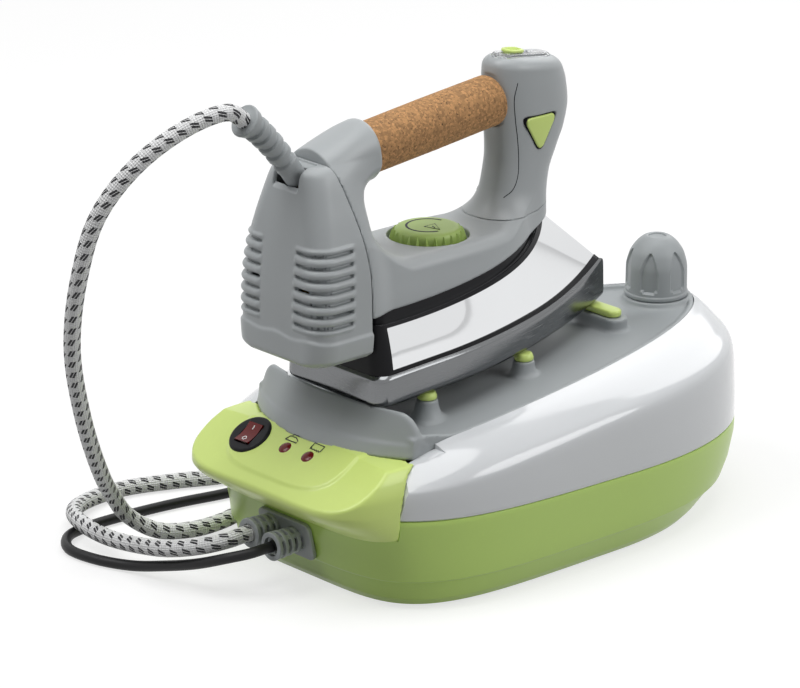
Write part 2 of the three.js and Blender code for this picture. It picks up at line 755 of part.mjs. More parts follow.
function ironHeater() {
  const z = (y) => soleHeight(y) + 9 + GAP + 3.4;
  const at = (x, y) => V(x, HEEL_Y + y, z(HEEL_Y + y));
  return tube([
    at(-27, 16), at(-27, 60), at(-24, 110), at(-14, 150), at(0, 172), at(14, 150), at(24, 110),
    at(27, 60), at(27, 16),
  ], 3.4, 6, 22);
}

const coverHeight = (y) => soleHeight(y) + 17;
function chamberCover() {
  const plate = loft([
    soleShoe(9.9, (x, y) => coverHeight(y)),
    soleShoe(9.9, (x, y) => coverHeight(y) + 2.5),
  ]);
  return plate;
}

function chromeSkirt() {
  const foot0 = soleShoe(3, (x, y) => soleTop(y) + GAP);
  const foot1 = soleShoe(5, (x, y) => soleTop(y) + GAP);
  const top0 = hoodShoe(0, (x, y) => hoodTop(y));
  const top1 = hoodShoe(1.8, (x, y) => hoodTop(y));
  const between = (a, b, t, bulge) => a.map((p, i) => {
    const q = b[i];
    return V(lerp(p.x, q.x, t) * (1 + bulge), lerp(p.y, q.y, t), lerp(p.z, q.z, t));
  });
  const wall = loft([
    foot0, between(foot0, top0, 0.3, 0.02), between(foot0, top0, 0.7, 0.02), top0,
    top1, between(foot1, top1, 0.7, 0.02), between(foot1, top1, 0.3, 0.02), foot1,
  ], true);
  return cut(wall, rod(3.6, -12, 12, 12).rotateX(Math.PI / 2).translate(0, HEEL_Y + 4, 167.3));
}

function heatShield() {
  const shell = loft([
    hoodShoe(2.4, (x, y) => hoodTop(y) - 3),
    hoodShoe(2.4, (x, y) => bodyFloor(y) - GAP),
  ]);
  const hollow = loft([
    hoodShoe(4.8, (x, y) => hoodTop(y) - 6),
    hoodShoe(4.8, (x, y) => bodyFloor(y) - GAP - 3),
  ]);
  const spindleHole = rod(7, 150, 230, 20).translate(0, KNOB_Y, 0);
  return cut(shell, hollow, spindleHole);
}

// ---------------------------------------------------------------- iron: plastic body
const HULL_TOP = 213;
const bodyShoe = (inset, height) => shoe({
  heel: HEEL_Y - 0.6 + Math.max(0, inset - 3),
  tip: HEEL_Y + 190 - 1.4 * inset,
  half: SOLE_WIDTH / 2 - 9.5 - inset,
  ease: HEEL_Y + 70,
  power: 3.2,
  corner: 9,
}, height);

const pillarRing = (mid, a, front, rear, z, slant = 0) => (
  oval({ a, front, rear, mid, nf: 2.6, nr: 2.6 }, (x, y) => z + slant * (y - mid), 24)
);

function ironBody() {
  const hull = loft([
    bodyShoe(0.8, (x, y) => bodyFloor(y)),
    bodyShoe(0, (x, y) => bodyFloor(y) + 2),
    bodyShoe(2.5, (x, y) => Math.max(bodyFloor(y) + 5, HULL_TOP - 9)),
    bodyShoe(6.5, (x, y) => Math.max(bodyFloor(y) + 6, HULL_TOP - 2.5)),
    bodyShoe(9.5, (x, y) => Math.max(bodyFloor(y) + 7, HULL_TOP)),
  ]);
  const back = HEEL_Y - 0.6;
  const pillar = loft([
    pillarRing(back + 16, 31, 16, 26, HULL_TOP - 8),
    pillarRing(back + 13, 27, 14, 18, HULL_TOP + 6),
    pillarRing(back + 6, 22.5, 9, 13, 232),
    pillarRing(back + 2, 20.5, 8.5, 14, 254),
    pillarRing(back - 1, 19.5, 11, 21, 270),
    pillarRing(back - 2, 18.6, 13.5, 24.5, 288, 0.12),
    pillarRing(back - 2, 17.4, 13, 23.6, 294, 0.25),
    pillarRing(back - 2, 12.5, 9.5, 19, 297, 0.3),
  ]);
  const hollow = loft([
    bodyShoe(3.8, (x, y) => bodyFloor(y) - 3),
    bodyShoe(4, (x, y) => bodyFloor(y) + 3),
    bodyShoe(6.5, (x, y) => Math.max(bodyFloor(y) + 3.4, HULL_TOP - 11)),
  ]);
  const well = rod(KNOB_RADIUS + 1.6, HULL_TOP - 5, 260, 32).translate(0, KNOB_Y, 0);
  const spindleHole = rod(4.2, 190, 230, 16).translate(0, KNOB_Y, 0);
  const coreHole = along(rod(5.1, -14, 40, 16), GRIP_START, gripAxis());
  const gripSeat = along(rod(GRIP_RADIUS + 0.4, -0.8, 40, 32), GRIP_START, gripAxis());
  return cut(join(hull, pillar), hollow, well, spindleHole, gripSeat, coreHole);
}

const gripAxis = () => V(0, Math.cos(GRIP_TILT), Math.sin(GRIP_TILT));

function corkGrip() {
  const r = GRIP_RADIUS;
  const l = GRIP_LENGTH - 2 * GAP;
  return along(lathe([
    [5, 0], [r - 1.2, 0], [r - 0.3, 3], [r, l / 2], [r - 0.3, l - 3], [r - 1.2, l], [5, l], [5, 0],
  ], 24), GRIP_START.clone().addScaledVector(gripAxis(), GAP - 0.5), gripAxis());
}

function handleCore() {
  return along(rod(4.7, -12.5, GRIP_LENGTH + 11.5, 20), GRIP_START, gripAxis());
}

const LENS = { y: COLUMN_Y + 25.5, z: 317.6, tilt: 0.14, half: 23 };
const onColumnTop = (geometry) => geometry.rotateX(-LENS.tilt).translate(0, LENS.y, LENS.z);

const BUTTON = { y: COLUMN_Y + 26.5, z: 272.5, outer: 19.6, inner: 14 };

function buttonShape(grow) {
  const w = 12.6 + grow;
  const top = 8.6 + grow;
  const low = -14.6 - grow;
  const shape = new THREE.Shape();
  shape.moveTo(-w + 4, top);
  shape.quadraticCurveTo(-w - 1.5, top, -w + 0.6, top - 5.5);
  shape.lineTo(-4, low + 4.5);
  shape.quadraticCurveTo(0, low - 2.5, 4, low + 4.5);
  shape.lineTo(w - 0.6, top - 5.5);
  shape.quadraticCurveTo(w + 1.5, top, w - 4, top);
  return shape;
}

const buttonPrism = (grow, x0, x1) => prism(buttonShape(grow), x1 - x0, 5)
  .rotateX(Math.PI / 2).rotateZ(Math.PI / 2).translate(x0, BUTTON.y, BUTTON.z);

function frontColumn() {
  const y = (v) => COLUMN_Y + v;
  const level = (z, rear, front, hx) => {
    const mid = y((rear + front) / 2);
    const d = (front - rear) / 2;
    return oval({ a: hx, front: d, rear: d, mid, nf: 2.5, nr: 2.3 }, () => z, 24);
  };
  const body = loft([
    level(HULL_TOP + GAP, -25, 42, 21),
    level(HULL_TOP + 5, -14, 42.5, 19.5),
    level(224, -7, 43, 18.3),
    level(240, -2.5, 46, 17.6),
    level(256, 0, 53, 18),
    level(270, -0.5, 59.5, 18.8),
    level(285, -2, 62.5, 19.4),
    level(300, -3, 60.5, 19.3),
    level(309, -3, 57.5, 18.6),
    level(314, -2.5, 55, 17),
    level(317, 2, 50, 13),
  ]);
  const crownCut = onColumnTop(box(-40, 40, -50, 60, 0, 40));
  const gripSeat = along(
    rod(GRIP_RADIUS + 0.4, GRIP_LENGTH - 30, GRIP_LENGTH - 0.4, 32), GRIP_START, gripAxis(),
  );
  const coreHole = along(rod(5.1, GRIP_LENGTH - 30, GRIP_LENGTH + 12.5, 16), GRIP_START, gripAxis());
  const buttonHole = buttonPrism(0.5, -40, 40);
  const lensPocket = onColumnTop(
    prism(roundedRect(2 * LENS.half - 6, 10, 4.9), 20, 3).rotateZ(Math.PI / 2).translate(0, 0, -7),
  );
  return cut(
    body, crownCut, gripSeat, coreHole, buttonHole, lensPocket, deckClearance(),
  );
}

// The column foot stops on the body, whose deck rises towards the nose.
function deckClearance() {
  return loft([
    bodyShoe(-1, () => 150),
    bodyShoe(-1, (x, y) => Math.max(bodyFloor(y) + 7, HULL_TOP) + GAP + 0.1),
  ]);
}

function indicatorLens() {
  const dome = prism(roundedRect(2 * LENS.half, 16.4, 8), 2.8, 5).rotateZ(Math.PI / 2)
    .translate(0, 0, GAP);
  const stem = prism(roundedRect(2 * LENS.half - 7, 9, 4.4), 7, 3).rotateZ(Math.PI / 2)
    .translate(0, 0, -6.2);
  const groove = box(-3.2, 3.2, -16, SLIDER_TRAVEL, GAP + 0.9, 10);
  return onColumnTop(cut(join(dome, stem), groove));
}

function steamSlider() {
  const pad = prism(roundedRect(13, 15, 5), 3.2, 4).translate(0, -8, 3.1 + GAP);
  const key = box(-2.8, 2.8, -14.5, -1.5, GAP + 1.2, 4);
  return onColumnTop(join(pad, key));
}

const steamButton = (side) => {
  const g = buttonPrism(0, BUTTON.inner, BUTTON.outer);
  return side > 0 ? g : mirrored(g);
};

function mirrored(geometry) {
  const g = geometry.index ? geometry.toNonIndexed() : geometry.clone();
  const p = g.attributes.position;
  for (let i = 0; i < p.count; i += 3) {
    const q = [0, 1, 2].map((k) => V(-p.getX(i + k), p.getY(i + k), p.getZ(i + k)));
    [q[0], q[2], q[1]].forEach((v, k) => p.setXYZ(i + k, v.x, v.y, v.z));
  }
  return g;
}

// Its two keys stand just clear of the buttons when these are pressed home.
function microSwitch() {
  const half = BUTTON.inner - BUTTON_TRAVEL - GAP;
  return box(-half, half, BUTTON.y - 7.5, BUTTON.y + 7.5, BUTTON.z - 4.5, BUTTON.z + 8.8);
}

function thermostatKnob() {
  const n = 48;
  const teeth = 12;
  const rounds = (radius, z, depth) => {
    const ring = [];
    for (let i = 0; i < n; i += 1) {
      const t = (i / n) * 2 * Math.PI - Math.PI / 2;
      const r = radius + depth * Math.cos(teeth * (t + Math.PI / 2));
      ring.push(V(i % (n / 2) === 0 ? 0 : r * Math.cos(t), r * Math.sin(t), z));
    }
    return ring;
  };
  const z = HULL_TOP - 5 + GAP;
  const body = loft([
    rounds(KNOB_RADIUS - 0.7, z, 0.7),
    rounds(KNOB_RADIUS - 0.9, z + 7, 0.7),
    rounds(KNOB_RADIUS - 3, z + 9.4, 0.2),
    rounds(KNOB_RADIUS - 6, z + 10.2, 0),
  ]);
  return cut(body, rod(3.3, z - 1, z + 6.5, 16)).translate(0, KNOB_Y, 0);
}

function ironThermostat() {
  const z = coverHeight(KNOB_Y) + 3.4;
  return lathe([
    [0, z], [13, z], [14, z + 1.5], [14, z + 14], [5, z + 16], [5, z + 24], [3, z + 25],
    [3, HULL_TOP + 1], [0, HULL_TOP + 1],
  ], 16).translate(0, KNOB_Y, 0);
}

// ---------------------------------------------------------------- iron: rear cover and inlet
const coverBack = (z) => HEEL_Y - 45.5 + 11 * clamp01((z - 195) / 90) ** 1.5;
const coverFront = (z) => HEEL_Y - 1 - 15.5 * clamp01((z - 208) / 75) ** 1.5;

function coverRing(z, half, inset) {
  const y0 = coverBack(z) + inset;
  const y1 = coverFront(z);
  const r = 15;
  const hx = half - inset;
  const ring = [V(0, y0, z), V(hx * 0.3, y0, z)];
  for (let i = 0; i <= 5; i += 1) {
    const a = (i / 5) * (Math.PI / 2);
    const ry = Math.min(r, (y1 - y0) * 0.8);
    ring.push(V(hx - r + r * Math.sin(a), y0 + ry * (1 - Math.cos(a)), z));
  }
  ring.push(V(hx, y1, z), V(hx * 0.5, y1, z), V(0, y1, z));
  for (let i = ring.length - 2; i > 0; i -= 1) ring.push(V(-ring[i].x, ring[i].y, z));
  return ring;
}

// Height and half-width of the cover, bottom to top.
const COVER_LEVELS = [
  [159, 38], [163, 41.5], [176, 42.5], [208, 41.5], [230, 39], [246, 35], [262, 30], [275, 25.5],
];
const SLOT_ROWS = 7;
const SLOT_PITCH = 7.7;

function rearCover() {
  const outer = [...COVER_LEVELS.map(([z, h]) => coverRing(z, h, 0)), coverRing(283, 21.5, 1.5)];
  const hollow = COVER_LEVELS.map(([z, h], i) => {
    const ring = coverRing(z, h, 2.4);
    const deep = ring.map((p) => (p.y > coverFront(z) - 0.1 ? V(p.x, p.y + 6, p.z) : p));
    return i === 0 ? deep.map((p) => V(p.x, p.y, z + 2.5)) : deep;
  });
  const slots = [];
  for (let i = 0; i < SLOT_ROWS; i += 1) {
    const z = 185 + i * SLOT_PITCH;
    [-1, 1].forEach((s) => {
      const x = [s * 17, s * 46].sort((a, b) => a - b);
      slots.push(box(x[0], x[1], HEEL_Y - 60, HEEL_Y - 21 - i * 0.6, z - 1.4, z + 1.4));
    });
  }
  const collar = along(rod(7.8, -8, 40, 24), RELIEF_START, RELIEF_AXIS);
  const ribRoom = along(rod(9.6, 1.4, 40, 24), RELIEF_START, RELIEF_AXIS);
  return cut(loft(outer), loft(hollow), ...slots, collar, ribRoom);
}

// Centreline of the hose sleeve: out of the cover's top, then easing over to the rear.
const RELIEF_START = V(0, HEEL_Y - 31.5, 279);
const RELIEF_KNEE = V(0, HEEL_Y - 54, 309.5);
const RELIEF_MOUTH = V(0, HEEL_Y - 70, 319.5);
const RELIEF_AXIS = RELIEF_KNEE.clone().sub(RELIEF_START).normalize();
const RELIEF_OUT = RELIEF_MOUTH.clone().sub(RELIEF_KNEE).normalize();

function ironStrainRelief() {
  const curve = new THREE.QuadraticBezierCurve3(RELIEF_START, RELIEF_KNEE, RELIEF_MOUTH);
  const right = V(1, 0, 0);
  const n = 12;
  const ringAt = (t, radius, back = 0) => {
    const heading = curve.getTangent(t);
    const centre = curve.getPoint(t).addScaledVector(heading, -back);
    const side = heading.clone().cross(right);
    const ring = [];
    for (let i = 0; i < n; i += 1) {
      const a = (i / n) * 2 * Math.PI - Math.PI / 2;
      const c = i % (n / 2) === 0 ? 0 : Math.cos(a);
      ring.push(centre.clone().addScaledVector(right, radius * c)
        .addScaledVector(side, radius * Math.sin(a)));
    }
    return ring;
  };
  const rings = [ringAt(0, 7.4, 7), ringAt(0.03, 7.4)];
  const ribs = 5;
  for (let i = 0; i < ribs; i += 1) {
    const t = 0.06 + i * 0.15;
    const r = lerp(8, 9, i / ribs);
    rings.push(ringAt(t, r), ringAt(t + 0.08, r), ringAt(t + 0.12, r - 1));
  }
  rings.push(ringAt(0.84, 9.6), ringAt(0.95, 10.8), ringAt(1, 10.8));
  return loft(rings);
}

function inletTube() {
  const start = RELIEF_START.clone().addScaledVector(RELIEF_AXIS, -7 - GAP);
  return tube([
    start, V(0, start.y + 4, start.z - 6), V(0, HEEL_Y - 20, 250), V(0, HEEL_Y - 20, 200),
    V(0, HEEL_Y - 19, 184), V(0, HEEL_Y - 12, 171), V(0, HEEL_Y + 4, 167.5),
    V(0, HEEL_Y + 16, 162), V(0, HEEL_Y + 21, 153),
    V(0, HEEL_Y + 21, coverHeight(HEEL_Y + 21) + 2.5 + GAP + 0.2),
  ], 2.8, 6, 26);
}

// ---------------------------------------------------------------- hose, cord and plug
const beside = (out, y, z) => V(-HALF - out, y, z);

// From the base's gland round the front left, down the far side, back again and up to the iron.
function steamHose() {
  const floor = HOSE_RADIUS + GAP;
  const out = (d) => RELIEF_MOUTH.clone().addScaledVector(RELIEF_OUT, d);
  return tube([
    HOSE_EXIT.clone().add(V(0, -GAP, 0)), HOSE_EXIT.clone().add(V(0, -7, 0)),
    V(HOSE_EXIT.x - 0.5, FRONT - 10, 35.5),
    V(-26, FRONT - 22, 32), V(-48, FRONT - 32, 26), V(-78, FRONT - 35, 20.5),
    V(-112, FRONT - 35, 16.5), beside(31, FRONT - 28, 14.5), beside(61, FRONT - 10, 10),
    beside(77, FRONT + 17, 6.5), beside(79, FRONT + 47, floor), beside(67, FRONT + 81, floor),
    beside(52, FRONT + 115, floor), beside(53, MID - 50, floor), beside(75, MID + 20, floor),
    beside(99, REAR - 87, floor), beside(100, REAR - 22, floor), beside(73, REAR + 31, floor),
    beside(28, REAR + 43, floor), beside(-14, REAR + 17, floor), beside(-27, REAR - 22, floor),
    beside(-13, REAR - 87, floor), beside(-1, MID + 35, floor), beside(2, MID - 20, floor),
    beside(2, FRONT + 137, floor), beside(-4, FRONT + 92, floor), beside(-13, FRONT + 57, floor),
    beside(-12, FRONT + 31, 6.2), beside(-2, FRONT + 10, 8.5), beside(8, FRONT - 6, 20),
    beside(6, FRONT - 21, 40), beside(-10, FRONT - 43, 67), V(-85, FRONT - 73, 119),
    V(-65, FRONT - 95, 175), V(-48, FRONT - 101, 226), V(-35, FRONT - 95, 268),
    V(-20, FRONT - 74, 301), V(-7, FRONT - 42, 322), out(14), out(GAP),
  ], HOSE_RADIUS, 8, 66);
}

const COIL = { x: -HALF - 46, y: REAR - 47, z: 9.6, radius: 40, section: 7.4 };

function mainsCord() {
  const floor = CORD_RADIUS + GAP;
  return tube([
    CORD_EXIT.clone().add(V(0, -GAP, 0)), CORD_EXIT.clone().add(V(0, -6, 0)),
    V(CORD_EXIT.x - 2, FRONT - 9, 32),
    V(-6, FRONT - 19, 28.5), V(-28, FRONT - 26, 20), V(-56, FRONT - 31, 11.5),
    V(-84, FRONT - 37, 5), V(-112, FRONT - 46, floor), beside(20, FRONT - 47, floor),
    beside(38, FRONT - 33, floor), beside(43, FRONT - 10, floor), beside(41, FRONT + 30, floor),
    beside(36, FRONT + 64, floor), beside(29, FRONT + 95, floor), beside(22, MID - 60, floor),
    beside(19, MID, floor), beside(12, COIL.y - 90, floor),
    V(COIL.x + COIL.radius, COIL.y - 50, floor + 0.5),
    V(COIL.x + COIL.radius, COIL.y - 29, COIL.z - 2),
  ], CORD_RADIUS, 8, 30);
}

function mainsCoil() {
  const { radius, section, z } = COIL;
  const profile = [];
  for (let i = 0; i <= 10; i += 1) {
    const a = (i / 10) * 2 * Math.PI;
    const r = i === 10 ? radius + section : radius + section * Math.cos(a);
    profile.push([r, i === 10 ? z : z + section * Math.sin(a)]);
  }
  return lathe(profile, 24).translate(COIL.x, COIL.y, 0);
}

function mainsTie() {
  const r = COIL.section + 3 * GAP;
  return lathe([[r, -5], [r + 1, -5], [r + 1, 5], [r, 5], [r, -5]], 16)
    .rotateY(Math.PI / 2).translate(COIL.x, COIL.y + COIL.radius, COIL.z);
}

// The plug lies in the eye of the coil, its sleeve over the turns.
function mainsPlug() {
  const z = COIL.z + COIL.section + GAP + 3.3;
  const body = lathe([
    [0, 0], [3.3, 0], [3.3, 15], [6, 16], [7, 26], [16, 29], [19.4, 34], [19.4, 58], [18, 60],
    [0, 60],
  ], 16);
  const pins = [-9.5, 9.5].map((x) => (
    lathe([[0, 58], [2.4, 58], [2.4, 77.6], [1.2, 79], [0, 79]], 10).translate(x, 0, 0)
  ));
  return join(body, ...pins).rotateZ(Math.PI / 2).rotateY(Math.PI / 2)
    .translate(COIL.x - COIL.radius - COIL.section, COIL.y, z);
}

// ---------------------------------------------------------------- assembly
const model = new THREE.Group();
model.name = 'steam_generator_iron';

function add(name, geometry, material) {
  const mesh = new THREE.Mesh(geometry, material);
  mesh.name = name;
  model.add(mesh);
}

add('lower_shell', lowerShell(), LIME);
add('upper_shell', upperShell(), WHITE);
add('top_tray', topTray(), GREY);
add('control_panel', controlPanel(), LIME);
FEET.forEach(([place, x, y]) => {
  add(`foot_${place}`, foot(x, y), RUBBER);
  add(`foot_screw_${place}`, footScrew(x, y), STEEL);
});
PADS.forEach(([place, x, y]) => add(`rest_pad_${place}`, restPad(x, y), LIME));
add('rest_pad_tip', tipPad(), LIME);
add('switch_bezel', switchBezel(), BLACK);
add('rocker_switch', rockerSwitch(), RED);
LAMPS.forEach(([place, x, y]) => add(`lamp_${place}`, lamp(x, y), RED));
add('gland_plate', glandPlate(), GREY);
add('hose_gland', hoseGland(), GREY);
add('cord_gland', cordGland(), GREY);
add('boiler_tank', boilerTank(), STEEL);
add('boiler_cradle', boilerCradle(), STEEL);
add('boiler_heater', boilerHeater(), STEEL);
add('boiler_thermostat', boilerThermostat(), BLACK);
add('filler_neck', fillerNeck(), BRASS);
add('cap_gasket', capGasket(), RUBBER);
add('cap_insert', capInsert(), BRASS);
add('cap_cover', capCover(), GREY);
add('solenoid_valve', solenoidValve(), BRASS);
add('tank_pipe', tankPipe(), BRASS);
add('gland_pipe', glandPipe(), BRASS);
add('soleplate', soleplate(), ALUMINIUM);
add('iron_heater', ironHeater(), STEEL);
add('chamber_cover', chamberCover(), STEEL);
add('chrome_skirt', chromeSkirt(), CHROME);
add('heat_shield', heatShield(), BLACK);
add('iron_body', ironBody(), PALE_GREY);
add('front_column', frontColumn(), PALE_GREY);
add('rear_cover', rearCover(), PALE_GREY);
add('handle_core', handleCore(), STEEL);
add('cork_grip', corkGrip(), CORK);
add('thermostat_knob', thermostatKnob(), LIME);
add('iron_thermostat', ironThermostat(), BRASS);
add('indicator_lens', indicatorLens(), CLEAR);
add('steam_slider', steamSlider(), LIME);
add('steam_button_right', steamButton(1), LIME);
add('steam_button_left', steamButton(-1), LIME);
add('micro_switch', microSwitch(), BLACK);
add('iron_strain_relief', ironStrainRelief(), GREY);
add('inlet_tube', inletTube(), BRASS);
add('steam_hose', steamHose(), BRAID);
add('mains_cord', mainsCord(), CORD_BLACK);
add('mains_coil', mainsCoil(), CORD_BLACK);
add('mains_tie', mainsTie(), RUBBER);
add('mains_plug', mainsPlug(), CORD_BLACK);

export default model;
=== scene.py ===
"""Steam generator iron: a lime and white boiler base with its cork-handled iron parked on the tray.

Sizes are millimetres until a mesh is published, +Z up, the control panel facing -Y.
"""
import math
from functools import partial
from itertools import product

import bmesh
import bpy
import numpy as np
from bpy.props import FloatProperty, FloatVectorProperty, IntProperty, PointerProperty
from mathutils import Matrix, Vector


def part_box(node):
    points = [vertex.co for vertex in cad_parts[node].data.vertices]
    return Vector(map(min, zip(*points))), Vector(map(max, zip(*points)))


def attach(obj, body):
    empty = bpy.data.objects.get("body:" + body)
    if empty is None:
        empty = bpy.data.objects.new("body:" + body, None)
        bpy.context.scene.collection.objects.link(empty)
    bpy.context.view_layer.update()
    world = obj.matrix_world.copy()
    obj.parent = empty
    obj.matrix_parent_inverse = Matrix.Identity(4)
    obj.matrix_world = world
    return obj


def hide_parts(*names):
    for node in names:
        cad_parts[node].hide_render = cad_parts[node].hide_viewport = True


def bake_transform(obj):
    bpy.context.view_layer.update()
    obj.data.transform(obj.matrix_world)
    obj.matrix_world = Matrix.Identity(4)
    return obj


bl_info = {
    "name": "Steam generator iron",
    "version": (1, 0, 0),
    "blender": (4, 5, 0),
    "location": "View3D > Sidebar > Steam iron",
    "description": "Builds the boiler base, the iron, its hose and its mains lead around the solid model",
    "category": "Object",
}

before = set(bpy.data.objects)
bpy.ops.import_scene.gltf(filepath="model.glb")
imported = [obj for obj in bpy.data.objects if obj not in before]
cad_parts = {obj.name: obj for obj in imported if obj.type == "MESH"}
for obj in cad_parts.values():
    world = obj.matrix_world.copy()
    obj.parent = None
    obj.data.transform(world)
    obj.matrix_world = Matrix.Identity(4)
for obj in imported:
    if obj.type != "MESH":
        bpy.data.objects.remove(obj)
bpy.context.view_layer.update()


# ------------------------------------------------------------------ sizes from the frame, in mm
def span(node):
    low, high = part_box(node)
    return np.array(low) * 1000, np.array(high) * 1000


def middle(node):
    low, high = span(node)
    return (low + high) / 2


GAP = 0.3                # clearance between neighbouring pieces
HALF = span("lower_shell")[1][0]
FRONT = span("control_panel")[0][1]
REAR = span("lower_shell")[1][1] + 1.5
MID = FRONT + 217
HEEL_Y, TIP_Y = span("soleplate")[0][1], span("soleplate")[1][1]
SOLE_HALF = span("soleplate")[1][0]
CAP_Y = middle("cap_cover")[1]
CAP_RADIUS = span("cap_cover")[1][0]
CAP_BASE, CAP_TOP = span("cap_cover")[0][2], span("cap_cover")[1][2]
KNOB_Y = middle("thermostat_knob")[1]
KNOB_RADIUS = span("thermostat_knob")[1][0]
GRIP_RADIUS = span("cork_grip")[1][0]
GRIP_LENGTH = 116
GRIP_TILT = 0.108
GRIP_START = np.array([0, HEEL_Y + 26, 281.0])
GRIP_AXIS = np.array([0, math.cos(GRIP_TILT), math.sin(GRIP_TILT)])
COLUMN_Y = GRIP_START[1] + GRIP_LENGTH * GRIP_AXIS[1]
HOSE_EXIT = np.array([-16, FRONT + 7, 36.0])
CORD_EXIT = np.array([6, FRONT + 7, 33.0])
HOSE_RADIUS = 5.5
CORD_RADIUS = 3.6
SHELL_WALL = 2.6
HULL_TOP = 213
HULL_WALL = 3.8
SEAM_HEIGHT = 50
LIP_HEIGHT = 74
PANEL_RISE = 24
PANEL_DEPTH = 38.5
PANEL_BACK = FRONT + 45.5
STOP_HEIGHT = 125
SOLE_THICK = 21
SPLIT_HEIGHT, SPLIT_SLOPE = 60, -0.023   # the split line between the shells
RIM_EXPONENTS = (3, 2)                   # squareness of the tray's rim, front and rear


# ------------------------------------------------------------------ curves and outlines
def clamp01(t):
    return np.clip(t, 0, 1)


def ramp(t):
    t = clamp01(t)
    return t * t * (3 - 2 * t)


def glide(x, knots, values):
    """Smooth curve through the knots that never overshoots them."""
    knots, values = np.asarray(knots, float), np.asarray(values, float)
    step = np.diff(knots)
    slope = np.diff(values) / step
    inner = np.where(slope[1:] * slope[:-1] > 0,
                     2 * slope[1:] * slope[:-1] / (slope[1:] + slope[:-1] + 1e-12), 0)
    tangent = np.concatenate([slope[:1], inner, slope[-1:]])
    x = np.clip(x, knots[0], knots[-1])
    k = np.clip(np.searchsorted(knots, x, side="right") - 1, 0, len(step) - 1)
    t = (x - knots[k]) / step[k]
    rise = values[k + 1] - values[k]
    a = tangent[k] * step[k] - rise
    b = rise - tangent[k + 1] * step[k]
    return (1 - t) * values[k] + t * values[k + 1] + t * (1 - t) * ((1 - t) * a + t * b)


def eased(points, reach, steps=4):
    """A polyline, in any number of dimensions, with each inner corner rounded over reach."""
    points = [np.asarray(p, float) for p in points]
    out = [points[0]]
    for before, corner, after in zip(points, points[1:], points[2:]):
        first, second = before - corner, after - corner
        r = min(reach, 0.45 * np.linalg.norm(first), 0.45 * np.linalg.norm(second))
        start = corner + first / np.linalg.norm(first) * r
        end = corner + second / np.linalg.norm(second) * r
        for t in np.linspace(0, 1, steps + 1):
            out.append((1 - t) ** 2 * start + 2 * t * (1 - t) * corner + t * t * end)
    out.append(points[-1])
    return out


def through(points, per):
    """Catmull-Rom curve through points or whole rings, centripetal like the solid model's."""
    pts = [np.asarray(p, float) for p in points]
    pts = [2 * pts[0] - pts[1]] + pts + [2 * pts[-1] - pts[-2]]
    out = []
    for p0, p1, p2, p3 in zip(pts, pts[1:], pts[2:], pts[3:]):
        d = [max(np.linalg.norm(b - a) ** 0.5, 1e-4) for a, b in ((p0, p1), (p1, p2), (p2, p3))]
        m1 = (p1 - p0) / d[0] - (p2 - p0) / (d[0] + d[1]) + (p2 - p1) / d[1]
        m2 = (p2 - p1) / d[1] - (p3 - p1) / (d[1] + d[2]) + (p3 - p2) / d[2]
        m1, m2 = m1 * d[1], m2 * d[1]
        for t in np.arange(per) / per:
            out.append((2 * t**3 - 3 * t**2 + 1) * p1 + (t**3 - 2 * t**2 + t) * m1
                       + (3 * t**2 - 2 * t**3) * p2 + (t**3 - t**2) * m2)
    out.append(pts[-2])
    return out


def rim_height(y):
    u = y - MID
    return 117 + 0.066 * u - 0.00015 * u * u


def split_height(y):
    return SPLIT_HEIGHT + SPLIT_SLOPE * y


def oval(a, front, rear, mid, nf, nr, height, n=256):
    """Closed ring of two superellipse halves, anticlockwise from the -Y end."""
    t = np.arange(n) / n * 2 * np.pi - np.pi / 2
    c, s = np.cos(t), np.sin(t)
    e = np.where(s < 0, nf, nr)
    x = a * np.sign(c) * np.abs(c) ** (2 / e)
    y = mid + np.where(s < 0, front, rear) * np.sign(s) * np.abs(s) ** (2 / e)
    return np.column_stack([x, y, np.broadcast_to(height(x, y), x.shape)])


def body_outline(side, front, rear, height, nf=3.8):
    return oval(HALF - side, MID - FRONT - 26 - front, REAR - MID - 1.5 - rear, MID, nf, 2.4, height)


RIM = {"a": HALF * 0.697, "front": 70, "rear": REAR - MID + 72, "mid": MID - 80}


def rim_outline(inset, height):
    return oval(RIM["a"] - inset, RIM["front"] - inset, RIM["rear"] - inset, RIM["mid"],
                *RIM_EXPONENTS, height)


def sole_height(y):
    return 123 + 0.045 * (y - HEEL_Y - 11)


def sole_top(y):
    return sole_height(y) + SOLE_THICK + 9 * clamp01((y - HEEL_Y - 153) / 94) ** 2


def hood_top(y):
    return 176 + 34 * clamp01((y - HEEL_Y - 13) / 170) ** 2.2


def body_floor(y):
    return 184 + 27 * clamp01((y - HEEL_Y + 1) / 184) ** 2.2


def deck(y):
    return np.maximum(body_floor(y) + 7, HULL_TOP)


def shoe(heel, tip, half, ease, power, corner, height, steps=56):
    """Closed ring: blunt at the heel, its sides easing into a pointed tip."""
    turn = np.linspace(0, np.pi / 2, 11)[1:]
    y = heel + corner + (tip - heel - corner) * (np.arange(1, steps) / steps) ** 0.8
    t = clamp01((y - ease) / (tip - ease))
    right = [(0.0, heel), ((half - corner) / 2, heel), (half - corner, heel)]
    right += list(zip(half - corner + corner * np.sin(turn), heel + corner * (1 - np.cos(turn))))
    right += list(zip(half * (1 - t**power), y))
    ring = np.array(right + [(0.0, tip)] + [(-px, py) for px, py in right[:0:-1]])
    x, y = ring[:, 0], ring[:, 1]
    return np.column_stack([x, y, np.broadcast_to(height(x, y), x.shape)])


def sole_shoe(inset, height):
    return shoe(HEEL_Y + inset, TIP_Y - 1.9 * inset, SOLE_HALF - inset, HEEL_Y + 63, 1.8, 11, height)


def hood_shoe(inset, height):
    return shoe(HEEL_Y + 5 + inset, HEEL_Y + 183 - 1.5 * inset, SOLE_HALF - 10 - inset, HEEL_Y + 73,
                3.5, 9, height)


